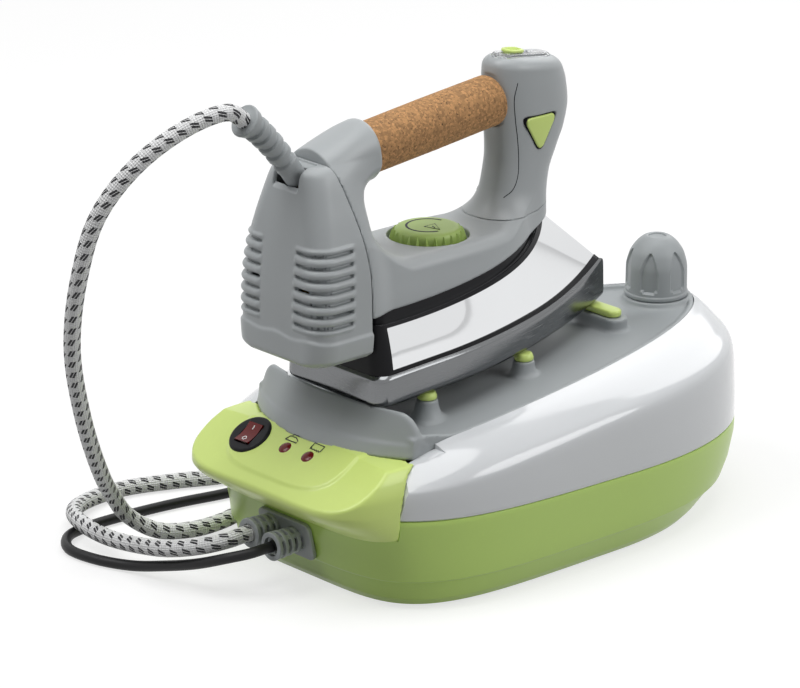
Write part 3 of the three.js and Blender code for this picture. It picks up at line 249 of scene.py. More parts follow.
def stadium(w, h, r, n=8):
    """Rounded rectangle about the origin, as 2-D points."""
    points = []
    for k, (sx, sy) in enumerate(((1, 1), (-1, 1), (-1, -1), (1, -1))):
        for a in np.linspace(0, np.pi / 2, n) + k * np.pi / 2:
            points.append((sx * (w / 2 - r) + r * math.cos(a), sy * (h / 2 - r) + r * math.sin(a)))
    return np.array(points)


# ------------------------------------------------------------------ fields: negative inside a shape
def trim(a, b, r):
    """What two fields share, its edge rounded to radius r."""
    return np.minimum(np.maximum(a, b), -r) + np.hypot(np.maximum(a + r, 0), np.maximum(b + r, 0))


def weld(a, b, r):
    """Two fields joined by a fillet of radius r."""
    return -trim(-a, -b, r)


def carve(a, tool, r):
    """Field a without the tool, its new edge rounded."""
    return trim(a, -tool, r)


def oval_field(x, y, a, front, rear, mid, nf, nr):
    ahead = y < mid
    b = np.where(ahead, front, rear)
    n = np.where(ahead, nf, nr)
    u, v = np.abs(x) / a + 1e-6, np.abs(y - mid) / b + 1e-6
    r = (u**n + v**n) ** (1 / n)
    steep = r ** (1 - n) * np.hypot(u ** (n - 1) / a, v ** (n - 1) / b)
    return (r - 1) / steep


def shoe_field(x, y, heel, tip, half, ease, power, corner):
    t = np.maximum((y - ease) / (tip - ease), 0)
    slope = half * power * t ** (power - 1) / (tip - ease)
    side = (np.abs(x) - half * (1 - t**power)) / np.hypot(1, slope)
    return trim(side, heel - y, corner)


def rod_field(x, y, z, start, axis):
    """Distance from a line, and how far along it."""
    px, py, pz = x - start[0], y - start[1], z - start[2]
    s = px * axis[0] + py * axis[1] + pz * axis[2]
    return np.sqrt(np.maximum(px * px + py * py + pz * pz - s * s, 1e-9)), s


def mould(field, low, high, step, passes=3):
    """Closed quad skin of a field's zero level: surface nets, then each point slid onto the level."""
    axes = [np.arange(a - 1.5 * step, b + 2 * step, step) for a, b in zip(low, high)]
    value = field(*np.meshgrid(*axes, indexing="ij"))
    inside = value < 0
    if any(inside.take(k, axis=d).any() for d in range(3) for k in (0, -1)):
        raise ValueError(f"the moulding {field.__name__} runs out of its box")
    shape = tuple(s - 1 for s in inside.shape)
    count = sum(inside[i:i + shape[0], j:j + shape[1], k:k + shape[2]].astype(np.int8)
                for i, j, k in product((0, 1), repeat=3))
    mixed = (count > 0) & (count < 8)
    index = np.full(shape, -1)
    index[mixed] = np.arange(mixed.sum())
    cells = np.argwhere(mixed)
    total, hits = np.zeros((len(cells), 3)), np.zeros(len(cells))
    for d in range(3):
        others = [k for k in range(3) if k != d]
        for da, db in product((0, 1), repeat=2):
            low_corner = cells.copy()
            low_corner[:, others[0]] += da
            low_corner[:, others[1]] += db
            high_corner = low_corner.copy()
            high_corner[:, d] += 1
            v0, v1 = value[tuple(low_corner.T)], value[tuple(high_corner.T)]
            crossing = (v0 < 0) != (v1 < 0)
            place = (low_corner - cells).astype(float)
            place[:, d] = np.where(crossing, v0 / np.where(v0 == v1, 1, v0 - v1), 0)
            total += place * crossing[:, None]
            hits += crossing
    point = total / hits[:, None] * step + np.column_stack([axes[d][cells[:, d]] for d in range(3)])
    reach = 0.04 * step
    for _ in range(passes):
        here = field(*point.T)
        slope = np.column_stack([
            (field(*(point + offset).T) - field(*(point - offset).T)) / (2 * reach)
            for offset in np.eye(3) * reach])
        size = np.maximum((slope**2).sum(1), 0.05)
        point -= slope * np.clip(here / size, -0.6 * step, 0.6 * step)[:, None]
    faces = []
    for d in range(3):
        a, b = (d + 1) % 3, (d + 2) % 3
        near, far = [slice(1, -1)] * 3, [slice(1, -1)] * 3
        near[d], far[d] = slice(0, -1), slice(1, None)
        first, second = inside[tuple(near)], inside[tuple(far)]
        for flag, order in ((first & ~second, (0, 1, 2, 3)), (~first & second, (0, 3, 2, 1))):
            at = np.argwhere(flag)
            at[:, a] += 1
            at[:, b] += 1
            quad = []
            for da, db in ((-1, -1), (0, -1), (0, 0), (-1, 0)):
                cell = at.copy()
                cell[:, a] += da
                cell[:, b] += db
                quad.append(index[tuple(cell.T)])
            faces.append(np.column_stack(quad)[:, list(order)])
    return point, np.concatenate(faces)


# ------------------------------------------------------------------ meshes
def loft(rings, ring_closed=False):
    """Skin over rings of equal length; open ends are capped unless the last ring joins the first."""
    n = len(rings[0])
    points = np.concatenate(rings)
    i = np.arange(n)
    j = (i + 1) % n
    last = len(rings) if ring_closed else len(rings) - 1
    faces = []
    for k in range(last):
        lo, hi = k * n, ((k + 1) % len(rings)) * n
        faces += np.column_stack([lo + i, lo + j, hi + j, hi + i]).tolist()
    if not ring_closed:
        faces.append(i[::-1].tolist())
        faces.append((i + (len(rings) - 1) * n).tolist())
    return points, faces


def lathe(profile, n, at=(0, 0, 0), shape=None):
    """Turned piece about +Z. shape(angle, r, z) may change the radius round the turn."""
    a = np.arange(n) / n * 2 * np.pi
    rings = []
    for r, z in profile:
        radius = np.full(n, float(r)) if shape is None else shape(a, r, z)
        rings.append(np.column_stack([radius * np.cos(a) + at[0], radius * np.sin(a) + at[1],
                                      np.full(n, z + at[2])]))
    closed = np.allclose(profile[0], profile[-1])
    return loft(rings[:-1] if closed else rings, closed)


def prism(outline, z0, z1, edge=0.0, steps=3):
    """Upright slab of an outline with its rims rounded by edge."""
    outline = np.asarray(outline, float)
    ahead, behind = np.roll(outline, -1, 0) - outline, outline - np.roll(outline, 1, 0)
    normal = np.column_stack([(ahead + behind)[:, 1], -(ahead + behind)[:, 0]])
    normal /= np.linalg.norm(normal, axis=1)[:, None] + 1e-9
    levels = []
    if edge:
        turn = np.linspace(0, np.pi / 2, steps + 1)
        levels += [(edge * (1 - math.sin(a)), z0 + edge * (1 - math.cos(a))) for a in turn]
        levels += [(edge * (1 - math.cos(a)), z1 - edge * (1 - math.sin(a))) for a in turn]
    else:
        levels = [(0, z0), (0, z1)]
    return loft([np.column_stack([outline - normal * inset, np.full(len(outline), z)])
                 for inset, z in levels])


def turned(shape, matrix):
    points, faces = shape
    m = np.array(matrix)
    return np.asarray(points) @ m[:3, :3].T + m[:3, 3], faces


def joined(*shapes):
    points, faces, base = [], [], 0
    for p, f in shapes:
        points.append(np.asarray(p))
        faces += [[int(v) + base for v in face] for face in f]
        base += len(p)
    return np.concatenate(points), faces


def frame_of(origin, up, right=(1, 0, 0)):
    up = Vector(up).normalized()
    side = Vector(right)
    side = (side - up * side.dot(up)).normalized()
    forward = up.cross(side)
    m = Matrix((side, forward, up)).transposed().to_4x4()
    m.translation = Vector(origin)
    return m


def headings(path):
    """Unit tangents and a side vector carried along the path without twist."""
    path = np.asarray(path, float)
    tangent = np.gradient(path, axis=0)
    tangent /= np.linalg.norm(tangent, axis=1)[:, None]
    side = np.cross(tangent[0], [0, 0, 1.0])
    if np.linalg.norm(side) < 1e-3:
        side = np.array([1.0, 0, 0])
    sides = []
    for t in tangent:
        side = side - t * side.dot(t)
        if np.linalg.norm(side) < 0.2:
            side = np.cross(t, [0, 0, 1.0])
        side = side / np.linalg.norm(side)
        sides.append(side)
    return tangent, np.array(sides)


def tube(path, radius, n):
    """Closed tube along a path; radius is a number or one per point."""
    tangent, side = headings(path)
    other = np.cross(tangent, side)
    radius = np.broadcast_to(radius, len(path))
    a = -np.arange(n) / n * 2 * np.pi
    rings = [p + r * (np.outer(np.cos(a), s) + np.outer(np.sin(a), o))
             for p, r, s, o in zip(np.asarray(path), radius, side, other)]
    return loft(rings)


def piece(name, shape, material, body, sharp=40, recalculate=True, bevel=0.0):
    """Publish a shape as a Blender object in metres, riding on a body."""
    points, faces = shape
    mesh = bpy.data.meshes.new(name)
    mesh.from_pydata((np.asarray(points) / 1000).tolist(), [],
                     faces.tolist() if isinstance(faces, np.ndarray) else faces)
    mesh.validate()
    obj = bpy.data.objects.new(name, mesh)
    bpy.context.scene.collection.objects.link(obj)
    if recalculate:
        bm = bmesh.new()
        bm.from_mesh(mesh)
        bmesh.ops.remove_doubles(bm, verts=bm.verts, dist=1e-6)
        bmesh.ops.recalc_face_normals(bm, faces=bm.faces)
        bm.to_mesh(mesh)
        bm.free()
    mesh.shade_smooth()
    mesh.set_sharp_from_angle(angle=math.radians(sharp))
    if bevel:
        modifier = obj.modifiers.new("soft edges", "BEVEL")
        modifier.width = bevel / 1000
        modifier.segments = 2
        modifier.limit_method = "ANGLE"
        modifier.angle_limit = math.radians(50)
        settle(obj)
    if material:
        dress(obj, material)
    if body:
        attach(obj, body)
    return obj


def discard(obj):
    """Remove a shape that only served to make another."""
    data = obj.data
    bpy.data.objects.remove(obj)
    bpy.data.meshes.remove(data)


def settle(obj):
    """Turn an object's modifiers into its mesh."""
    graph = bpy.context.evaluated_depsgraph_get()
    mesh = bpy.data.meshes.new_from_object(obj.evaluated_get(graph))
    obj.modifiers.clear()
    old, obj.data = obj.data, mesh
    bpy.data.meshes.remove(old)
    mesh.name = obj.name


def sculpt(obj, cutters, operation="DIFFERENCE"):
    """Boolean of a piece with plain shapes, which are used up."""
    for shape in cutters:
        tool = piece("cutter", shape, None, None)
        modifier = obj.modifiers.new("cut", "BOOLEAN")
        modifier.operation = operation
        modifier.solver = "MANIFOLD"
        modifier.object = tool
        settle(obj)
        discard(tool)
    obj.data.shade_smooth()
    obj.data.set_sharp_from_angle(angle=math.radians(35))


def moulded(name, node, field, step, material, body, below=0, above=0):
    """Publish the skin of a field, sampled in its node's box grown below and above."""
    low, high = span(node)
    return piece(name, mould(field, low - below, high + above, step), material, body, sharp=60,
                 recalculate=False)


def dress(obj, material):
    obj.data.materials.clear()
    obj.data.materials.append(FINISHES[material])


SLAB_HALF = 160         # reaches past the base on either side


def slab(line):
    """Prism across X of an outline given as (y, z) corners."""
    return loft([np.array([(x, y, z) for y, z in line]) for x in (-SLAB_HALF, SLAB_HALF)])


# ------------------------------------------------------------------ repeats, as Geometry Nodes
def add_node(tree, kind, links=(), **values):
    """A node with its settings, input values and incoming links."""
    node = tree.nodes.new(kind)
    for key, value in values.items():
        if hasattr(node, key):
            setattr(node, key, value)
        else:
            node.inputs[key].default_value = value
    for socket, source in links:
        tree.links.new(source, node.inputs[socket])
    return node


def repeat_tree(name, sockets, build):
    """Geometry tree with named inputs: build lays a pattern out, then it is made real and finished."""
    tree = bpy.data.node_groups.new(name, "GeometryNodeTree")
    for label, kind in sockets:
        tree.interface.new_socket(label, in_out="INPUT", socket_type="NodeSocket" + kind)
    tree.interface.new_socket("Made", in_out="OUTPUT", socket_type="NodeSocketGeometry")
    node = partial(add_node, tree)
    given, result = node("NodeGroupInput").outputs, node("NodeGroupOutput")
    info = node("GeometryNodeObjectInfo", [("Object", given["Pattern"])])
    made = build(node, given, info.outputs["Geometry"])
    real = node("GeometryNodeRealizeInstances", [("Geometry", made)])
    finish = node("GeometryNodeSetMaterial", [("Geometry", real.outputs[0]), ("Material", given["Finish"])])
    tree.links.new(finish.outputs[0], result.inputs["Made"])


def at_places(node, given, pattern):
    """A pattern set on every point of the object."""
    return node("GeometryNodeInstanceOnPoints", [
        ("Points", given["Places"]), ("Instance", pattern), ("Scale", given["Scale"])]).outputs[0]


def round_wheel(node, given, pattern):
    """A pattern repeated round the Z axis, facing outwards, joined to the hub."""
    circle = node("GeometryNodeMeshCircle", [("Vertices", given["Count"]), ("Radius", given["Radius"])])
    place = node("GeometryNodeInputPosition")
    aim = node("FunctionNodeAlignRotationToVector", [("Vector", place.outputs[0])], axis="X")
    put = node("GeometryNodeInstanceOnPoints", [
        ("Points", circle.outputs["Mesh"]), ("Instance", pattern), ("Rotation", aim.outputs[0])])
    shift = node("GeometryNodeTransform", [("Geometry", put.outputs[0]), ("Translation", given["Centre"])])
    return node("GeometryNodeJoinGeometry", [
        ("Geometry", given["Hub"]), ("Geometry", shift.outputs[0])]).outputs[0]


def in_row(node, given, pattern):
    """A pattern repeated along a straight row, joined to the ground piece."""
    line = node("GeometryNodeMeshLine", [
        ("Count", given["Count"]), ("Start Location", given["Start"]), ("Offset", given["Step"])])
    put = node("GeometryNodeInstanceOnPoints", [("Points", line.outputs["Mesh"]), ("Instance", pattern)])
    return node("GeometryNodeJoinGeometry", [
        ("Geometry", given["Ground"]), ("Geometry", put.outputs[0])]).outputs[0]


# Named inputs and layout of each tree. The first input is the object's own mesh.
REPEATS = {
    "pattern at places": ([
        ("Places", "Geometry"), ("Pattern", "Object"), ("Scale", "Float"), ("Finish", "Material"),
    ], at_places),
    "pattern round a wheel": ([
        ("Hub", "Geometry"), ("Pattern", "Object"), ("Count", "Int"), ("Radius", "Float"),
        ("Centre", "Vector"), ("Finish", "Material"),
    ], round_wheel),
    "pattern in a row": ([
        ("Ground", "Geometry"), ("Pattern", "Object"), ("Count", "Int"), ("Start", "Vector"),
        ("Step", "Vector"), ("Finish", "Material"),
    ], in_row),
}


def repeat(name, tree_name, ground, pattern, finish, body, sharp=40, **values):
    """Run a repeat tree over the ground shape and publish its plain mesh."""
    obj = piece(name, ground, finish, None, recalculate=False)
    shape = piece(name + "_pattern", pattern, finish, None, sharp=sharp)
    tree = bpy.data.node_groups[tree_name]
    modifier = obj.modifiers.new("repeat", "NODES")
    modifier.node_group = tree
    values.update(Pattern=shape, Finish=FINISHES[finish])
    for item in tree.interface.items_tree:
        if item.in_out == "INPUT" and item.name in values:
            modifier[item.identifier] = values[item.name]
    settle(obj)
    discard(shape)
    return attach(obj, body)


# ------------------------------------------------------------------ finishes
FINISHES = {}


def maths(tree, operation, a, b=None, c=None):
    node = add_node(tree, "ShaderNodeMath", operation=operation)
    for socket, value in zip(node.inputs, (a, b, c)):
        if isinstance(value, (int, float)):
            socket.default_value = value
        elif value is not None:
            tree.links.new(value, socket)
    return node.outputs[0]


def blended(tree, factor, first, second):
    node = add_node(tree, "ShaderNodeMix", data_type="RGBA")
    for socket, value in ((node.inputs[0], factor), (node.inputs[6], first), (node.inputs[7], second)):
        if hasattr(value, "links"):
            tree.links.new(value, socket)
        else:
            socket.default_value = value
    return node.outputs[2]


def grain_group():
    """Moulded or rolled surface: slow cloudiness, fine grain and faint scuffs over one colour."""
    tree = bpy.data.node_groups.new("surface grain", "ShaderNodeTree")
    node, calc = partial(add_node, tree), partial(maths, tree)
    for label, kind, default in (
            ("Colour", "Color", (0.5, 0.5, 0.5, 1)), ("Roughness", "Float", 0.4),
            ("Grain Scale", "Float", 900), ("Cloud", "Float", 0.05), ("Scuffs", "Float", 0.05),
            ("Stretch", "Vector", (1, 1, 1))):
        socket = tree.interface.new_socket(label, in_out="INPUT", socket_type="NodeSocket" + kind)
        socket.default_value = default
    for label, kind in (("Colour", "Color"), ("Roughness", "Float"), ("Height", "Float")):
        tree.interface.new_socket(label, in_out="OUTPUT", socket_type="NodeSocket" + kind)
    given, result = node("NodeGroupInput").outputs, node("NodeGroupOutput").inputs
    place = node("ShaderNodeTexCoord").outputs["Object"]
    stretch = node("ShaderNodeVectorMath", [(0, place), (1, given["Stretch"])], operation="MULTIPLY")
    stretched = ("Vector", stretch.outputs[0])
    fine = node("ShaderNodeTexNoise", [stretched, ("Scale", given["Grain Scale"])], Detail=3)
    slow = node("ShaderNodeTexNoise", [("Vector", place)], Scale=14, Detail=3)
    marks = node("ShaderNodeTexNoise", [stretched], Scale=160, Detail=6, Distortion=1.6)
    cloud = calc("MULTIPLY", calc("SUBTRACT", slow.outputs[0], 0.5), given["Cloud"])
    worn = calc("MAXIMUM", calc("SUBTRACT", marks.outputs[0], 0.56), 0.0)
    scuff = calc("MULTIPLY", worn, given["Scuffs"])
    lit = node("ShaderNodeHueSaturation", [
        ("Color", given["Colour"]), ("Value", calc("ADD", calc("ADD", cloud, scuff), 1.0))])
    rough = calc("ADD", given["Roughness"],
                 calc("ADD", calc("MULTIPLY", scuff, 3.0), calc("MULTIPLY", cloud, 0.8)))
    tree.links.new(lit.outputs[0], result["Colour"])
    tree.links.new(rough, result["Roughness"])
    tree.links.new(fine.outputs[0], result["Height"])


def material_of(name, slot, **values):
    """New finish with values set on its shader."""
    material = bpy.data.materials.new(name)
    material.use_nodes = True
    material["slot"] = slot
    FINISHES[name] = material
    tree = material.node_tree
    shader = tree.nodes["Principled BSDF"]
    for label, value in values.items():
        shader.inputs[label].default_value = value
    return tree, shader


def bump_into(tree, shader, height, strength, distance):
    bump = add_node(tree, "ShaderNodeBump", [("Height", height)], Strength=strength, Distance=distance)
    tree.links.new(bump.outputs[0], shader.inputs["Normal"])


def grained(name, slot, colour, rough, metallic=0.0, coat=0.0, specular=0.5, grain=900, cloud=0.06,
            scuffs=0.1, bump=0.15, stretch=(1, 1, 1)):
    """A solid finish whose colour, gloss and relief vary a little over the piece."""
    tree, shader = material_of(name, slot, **{
        "Metallic": metallic, "Coat Weight": coat, "Coat Roughness": 0.08, "Specular IOR Level": specular})
    node = add_node(tree, "ShaderNodeGroup", node_tree=bpy.data.node_groups["surface grain"])
    for label, value in (("Colour", (*colour[:3], 1)), ("Roughness", rough), ("Grain Scale", grain),
                         ("Cloud", cloud), ("Scuffs", scuffs), ("Stretch", stretch)):
        node.inputs[label].default_value = value
    tree.links.new(node.outputs["Colour"], shader.inputs["Base Color"])
    tree.links.new(node.outputs["Roughness"], shader.inputs["Roughness"])
    bump_into(tree, shader, node.outputs["Height"], bump, 0.0001)


def cork_finish(colour):
    """Pressed cork: granules of three browns, dark bark flecks and open pores."""
    tree, shader = material_of("cork", "cork", Roughness=0.78)
    node, calc = partial(add_node, tree), partial(maths, tree)
    place = node("ShaderNodeTexCoord").outputs["Object"]
    bend = node("ShaderNodeTexNoise", [("Vector", place)], Scale=420, Detail=3)
    warp = node("ShaderNodeVectorMath", [(0, bend.outputs["Color"]), (2, place)], operation="MULTIPLY_ADD")
    warp.inputs[1].default_value = (0.0016, 0.0016, 0.0016)
    warped = [("Vector", warp.outputs[0])]
    cells = node("ShaderNodeTexVoronoi", warped, Scale=620)
    tone = node("ShaderNodeSeparateColor", [("Color", cells.outputs["Color"])])
    dark = (*(c * 0.62 for c in colour), 1)
    pale = (*(min(1, c * 1.32) for c in colour), 1)
    fleck = node("ShaderNodeTexNoise", [("Vector", place)], Scale=520, Detail=5, Roughness=0.65)
    spot = calc("MULTIPLY", calc("GREATER_THAN", fleck.outputs[0], 0.62), 0.8)
    edge = node("ShaderNodeTexVoronoi", warped, Scale=620, feature="DISTANCE_TO_EDGE")
    crack = calc("LESS_THAN", edge.outputs["Distance"], 0.045)
    base = blended(tree, tone.outputs[0], dark, pale)
    base = blended(tree, spot, base, (0.055, 0.026, 0.01, 1))
    base = blended(tree, calc("MULTIPLY", crack, 0.35), base, dark)
    tree.links.new(base, shader.inputs["Base Color"])
    height = calc("SUBTRACT", calc("SUBTRACT", tone.outputs[1], spot), crack)
    bump_into(tree, shader, height, 0.35, 0.0003)


def braid_finish():
    """White braid with slanted pairs of black tracer yarns, laid by the hose's own UV map; the white is
    painted darker in the weave's dips, as painted shade between threads.
    """
    # Rows of tracers round the hose; the spacing along it, in metres, of their cells and of the threads.
    rows, cell, thread_pitch = 5.0, 0.0092, 0.0034
    tree, shader = material_of("braid", "braid", Roughness=0.82)
    node, calc = partial(add_node, tree), partial(maths, tree)
    uv = node("ShaderNodeUVMap", uv_map="lay").outputs[0]
    u, v, _ = node("ShaderNodeSeparateXYZ", [("Vector", uv)]).outputs

    def thread(turns):
        turn = calc("ADD", calc("MULTIPLY", u, turns), calc("DIVIDE", v, thread_pitch))
        return calc("SINE", calc("MULTIPLY", turn, 6.2832))

    row = calc("MULTIPLY", u, rows)
    across = calc("SUBTRACT", calc("FRACT", row), 0.5)
    along = calc("ADD", calc("DIVIDE", v, cell), calc("MULTIPLY", calc("FLOOR", row), 0.4))
    along = calc("SUBTRACT", calc("FRACT", along), 0.5)
    slant = calc("ADD", across, calc("MULTIPLY", along, 0.6))
    yarns = calc("MAXIMUM", calc("COMPARE", slant, 0.15, 0.115), calc("COMPARE", slant, -0.15, 0.115))
    black = calc("MULTIPLY", yarns, calc("LESS_THAN", calc("ABSOLUTE", along), 0.27))
    weave = calc("MULTIPLY", thread(11.0), thread(-11.0))
    fibre = node("ShaderNodeTexNoise", [("Vector", uv)], Scale=900, Detail=2)
    # Painted shade: the white darkens where the weave dips between threads; the fibre noise is the yarn's
    # own random tone.
    shade = calc("ADD", calc("MULTIPLY", weave, 0.08),
                 calc("ADD", calc("MULTIPLY", fibre.outputs[0], 0.16), 0.84))
    white = node("ShaderNodeHueSaturation", [("Value", shade)], Color=(0.95, 0.955, 0.96, 1))
    tree.links.new(blended(tree, black, white.outputs[0], (0.025, 0.025, 0.028, 1)),
                   shader.inputs["Base Color"])
    bump_into(tree, shader, weave, 0.5, 0.0006)


def clear_finish():
    tree, shader = material_of("clear_plastic", "clear_plastic", **{
        "Roughness": 0.06, "Transmission Weight": 0.85, "IOR": 1.45})
    noise = add_node(tree, "ShaderNodeTexNoise", [
        ("Vector", add_node(tree, "ShaderNodeTexCoord").outputs["Object"])], Scale=40, Detail=1)
    tint = blended(tree, noise.outputs[0], (0.9, 0.93, 0.95, 1), (0.97, 0.98, 0.99, 1))
    tree.links.new(tint, shader.inputs["Base Color"])


def seen_directly(tree, share):
    """The share for what the camera sees straight, in a gloss or through something clear; else 0."""
    ray = add_node(tree, "ShaderNodeLightPath").outputs
    seen = maths(tree, "ADD", maths(tree, "ADD", ray["Is Camera Ray"], ray["Is Glossy Ray"]),
                 ray["Is Transmission Ray"])
    return maths(tree, "MULTIPLY", maths(tree, "MINIMUM", seen, 1.0), share)


def floor_finish():
    """Pale ground that reads white to the camera and to metal, and keeps the object's shadow."""
    tree, shader = material_of("studio_floor", "", **{
        "Base Color": (0.38, 0.38, 0.38, 1), "Roughness": 0.9, "Specular IOR Level": 0.0})
    glow = add_node(tree, "ShaderNodeEmission", [("Strength", seen_directly(tree, 0.68))])
    both = add_node(tree, "ShaderNodeAddShader", [(0, shader.outputs[0]), (1, glow.outputs[0])])
    tree.links.new(both.outputs[0], tree.nodes["Material Output"].inputs["Surface"])


# Every solid that stays in view or inside keeps its own mesh and takes one of the finishes.
SOLID_FINISHES = {
    "steel": ["boiler_tank", "boiler_cradle", "boiler_heater", "iron_heater", "chamber_cover",
              "handle_core"],
    "brass": ["filler_neck", "solenoid_valve", "tank_pipe", "gland_pipe", "iron_thermostat",
              "inlet_tube", "cap_insert"],
    "black_plastic": ["boiler_thermostat", "micro_switch"],
    "rubber": ["cap_gasket"],
}


class FINISH_OT_all(bpy.types.Operator):
    """Mix every plastic, metal, cork, braid and rubber finish"""
    bl_idname = "steam_iron.finishes"
    bl_label = "Finishes"

    def execute(self, context):
        p = context.scene.steam_iron

        def tinted(*shares):
            return [v * k for v, k in zip(p.lime, shares)]

        grain_group()
        lime = {"slot": "lime_plastic", "grain": 1300, "cloud": 0.03, "bump": 0.08}
        # Lit and shaded copies of one lime: the first, for the panel, pads and keys, is painted lighter as
        # painted light; the second, for the lower shell, is painted darker and greener as painted shade.
        grained("lime_plastic", colour=tinted(1.14, 1.14, 1.14), rough=0.34, coat=0.12, **lime)
        grained("deep_lime", colour=tinted(0.9, 1.02, 0.88), rough=0.34, coat=0.12, **lime)
        grained("green_plastic", colour=tinted(0.62, 0.7, 0.66), rough=0.4, **lime)
        grained("white_plastic", "white_plastic", p.white, 0.13, coat=0.5, grain=260, cloud=0.02,
                scuffs=0.02, bump=0.03)
        grained("grey_plastic", "grey_plastic", p.grey, 0.46, grain=1700, bump=0.25)
        grained("pale_grey_plastic", "pale_grey_plastic", p.pale_grey, 0.38, grain=1500, bump=0.16)
        grained("black_plastic", "black_plastic", (0.014, 0.014, 0.016), 0.38, specular=0.12, grain=1500,
                bump=0.2)
        grained("rubber", "rubber", (0.02, 0.02, 0.022), 0.74, specular=0.2, grain=1900, bump=0.3)
        grained("cord_black", "cord_black", (0.012, 0.012, 0.013), 0.42, specular=0.25, grain=1400,
                bump=0.2)
        grained("red_plastic", "red_plastic", (0.14, 0.004, 0.004), 0.18, coat=0.1, specular=0.25,
                bump=0.06)
        grained("print_dark", "black_plastic", (0.05, 0.055, 0.06), 0.5, specular=0.1)
        grained("print_white", "white_plastic", (0.82, 0.82, 0.8), 0.45)
        grained("chrome", "chrome", (0.74, 0.75, 0.76), 0.045, 1.0, grain=300, scuffs=0.04, bump=0.02)
        grained("aluminium", "aluminium", (0.18, 0.185, 0.19), 0.17, 1.0, grain=420, cloud=0.3,
                scuffs=0.5, bump=0.1, stretch=(1, 0.12, 9))
        grained("steel", "steel", (0.5, 0.5, 0.51), 0.33, 1.0, grain=700, cloud=0.1, scuffs=0.4,
                stretch=(1, 1, 6))
        grained("brass", "brass", (0.62, 0.42, 0.16), 0.3, 1.0, grain=600, cloud=0.15, scuffs=0.4)
        cork_finish(p.cork)
        braid_finish()
        clear_finish()
        floor_finish()
        for finish, nodes in SOLID_FINISHES.items():
            for node in nodes:
                dress(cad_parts[node], finish)
        for name, (sockets, build) in REPEATS.items():
            repeat_tree(name, sockets, build)
        return {"FINISHED"}


# ------------------------------------------------------------------ stage and camera
CAMERA_AZIMUTH, CAMERA_ELEVATION = math.radians(48), math.radians(19)
CAMERA_DISTANCE, CAMERA_LENS = 3.0, 195.75  # in metres, and in mm on a 36 mm sensor
CAP_RIGHT, CAP_ABOVE = 0.17655, 0.035172   # the cap's foot, from the middle of the view, in metres
FLOOR_SIZE = 16000
# Name, place, width and power of the lamps, which all look at the same spot.
LAMP_AIM = Vector((0, 0, 0.12))
STUDIO_LAMPS = [
    ("key", (2.6, 1.5, 1.9), 2.0, 36), ("fill", (-0.8, -1.7, 2.8), 1.8, 44),
    ("back", (-0.9, 2.6, 2.2), 2.2, 22), ("top", (0.2, 0, 3.1), 2.2, 36),
]


class STAGE_OT_studio(bpy.types.Operator):
    """Lay the floor, hang the soft lamps and set the camera"""
    bl_idname = "steam_iron.stage"
    bl_label = "Studio"

    def execute(self, context):
        scene = context.scene
        s, c = math.sin(CAMERA_AZIMUTH), math.cos(CAMERA_AZIMUTH)
        e, f = math.sin(CAMERA_ELEVATION), math.cos(CAMERA_ELEVATION)
        right, up, back = Vector((c, s, 0)), Vector((-s * e, c * e, f)), Vector((s * f, -c * f, e))
        data = bpy.data.cameras.new("camera")
        data.lens, data.sensor_width = CAMERA_LENS, 36
        data.clip_end = 50
        camera = bpy.data.objects.new("camera", data)
        scene.collection.objects.link(camera)
        aim = Vector((0, CAP_Y / 1000, CAP_BASE / 1000))
        m = Matrix((right, up, back)).transposed().to_4x4()
        m.translation = aim + back * CAMERA_DISTANCE - right * CAP_RIGHT - up * CAP_ABOVE
        camera.matrix_world = m
        scene.camera = camera
        floor = piece("floor", prism(stadium(FLOOR_SIZE, FLOOR_SIZE, 400), -20, 0), None, None)
        floor.data.materials.append(FINISHES["studio_floor"])
        for name, place, size, power in STUDIO_LAMPS:
            lamp = bpy.data.lights.new(name, "AREA")
            lamp.shape = "DISK"
            lamp.size = size
            lamp.energy = power
            obj = bpy.data.objects.new(name, lamp)
            scene.collection.objects.link(obj)
            obj.location = place
            obj.rotation_euler = (Vector(place) - LAMP_AIM).to_track_quat("Z", "Y").to_euler()
        world = bpy.data.worlds.new("studio")
        scene.world = world
        world.use_nodes = True
        tree = world.node_tree
        background = tree.nodes["Background"].inputs
        background["Color"].default_value = (1, 1, 1, 1)
        tree.links.new(maths(tree, "ADD", seen_directly(tree, 0.88), 0.12), background["Strength"])
        scene.view_settings.view_transform = "Standard"
        return {"FINISHED"}


# ------------------------------------------------------------------ hose and mains lead
def beside(out, y, z):
    return (-HALF - out, y, z)


RELIEF_START = np.array([0, HEEL_Y - 31.5, 279])
RELIEF_KNEE = np.array([0, HEEL_Y - 54, 309.5])
RELIEF_MOUTH = np.array([0, HEEL_Y - 70, 319.5])
RELIEF_OUT = (RELIEF_MOUTH - RELIEF_KNEE) / np.linalg.norm(RELIEF_MOUTH - RELIEF_KNEE)
RELIEF_AXIS = (RELIEF_KNEE - RELIEF_START) / np.linalg.norm(RELIEF_KNEE - RELIEF_START)


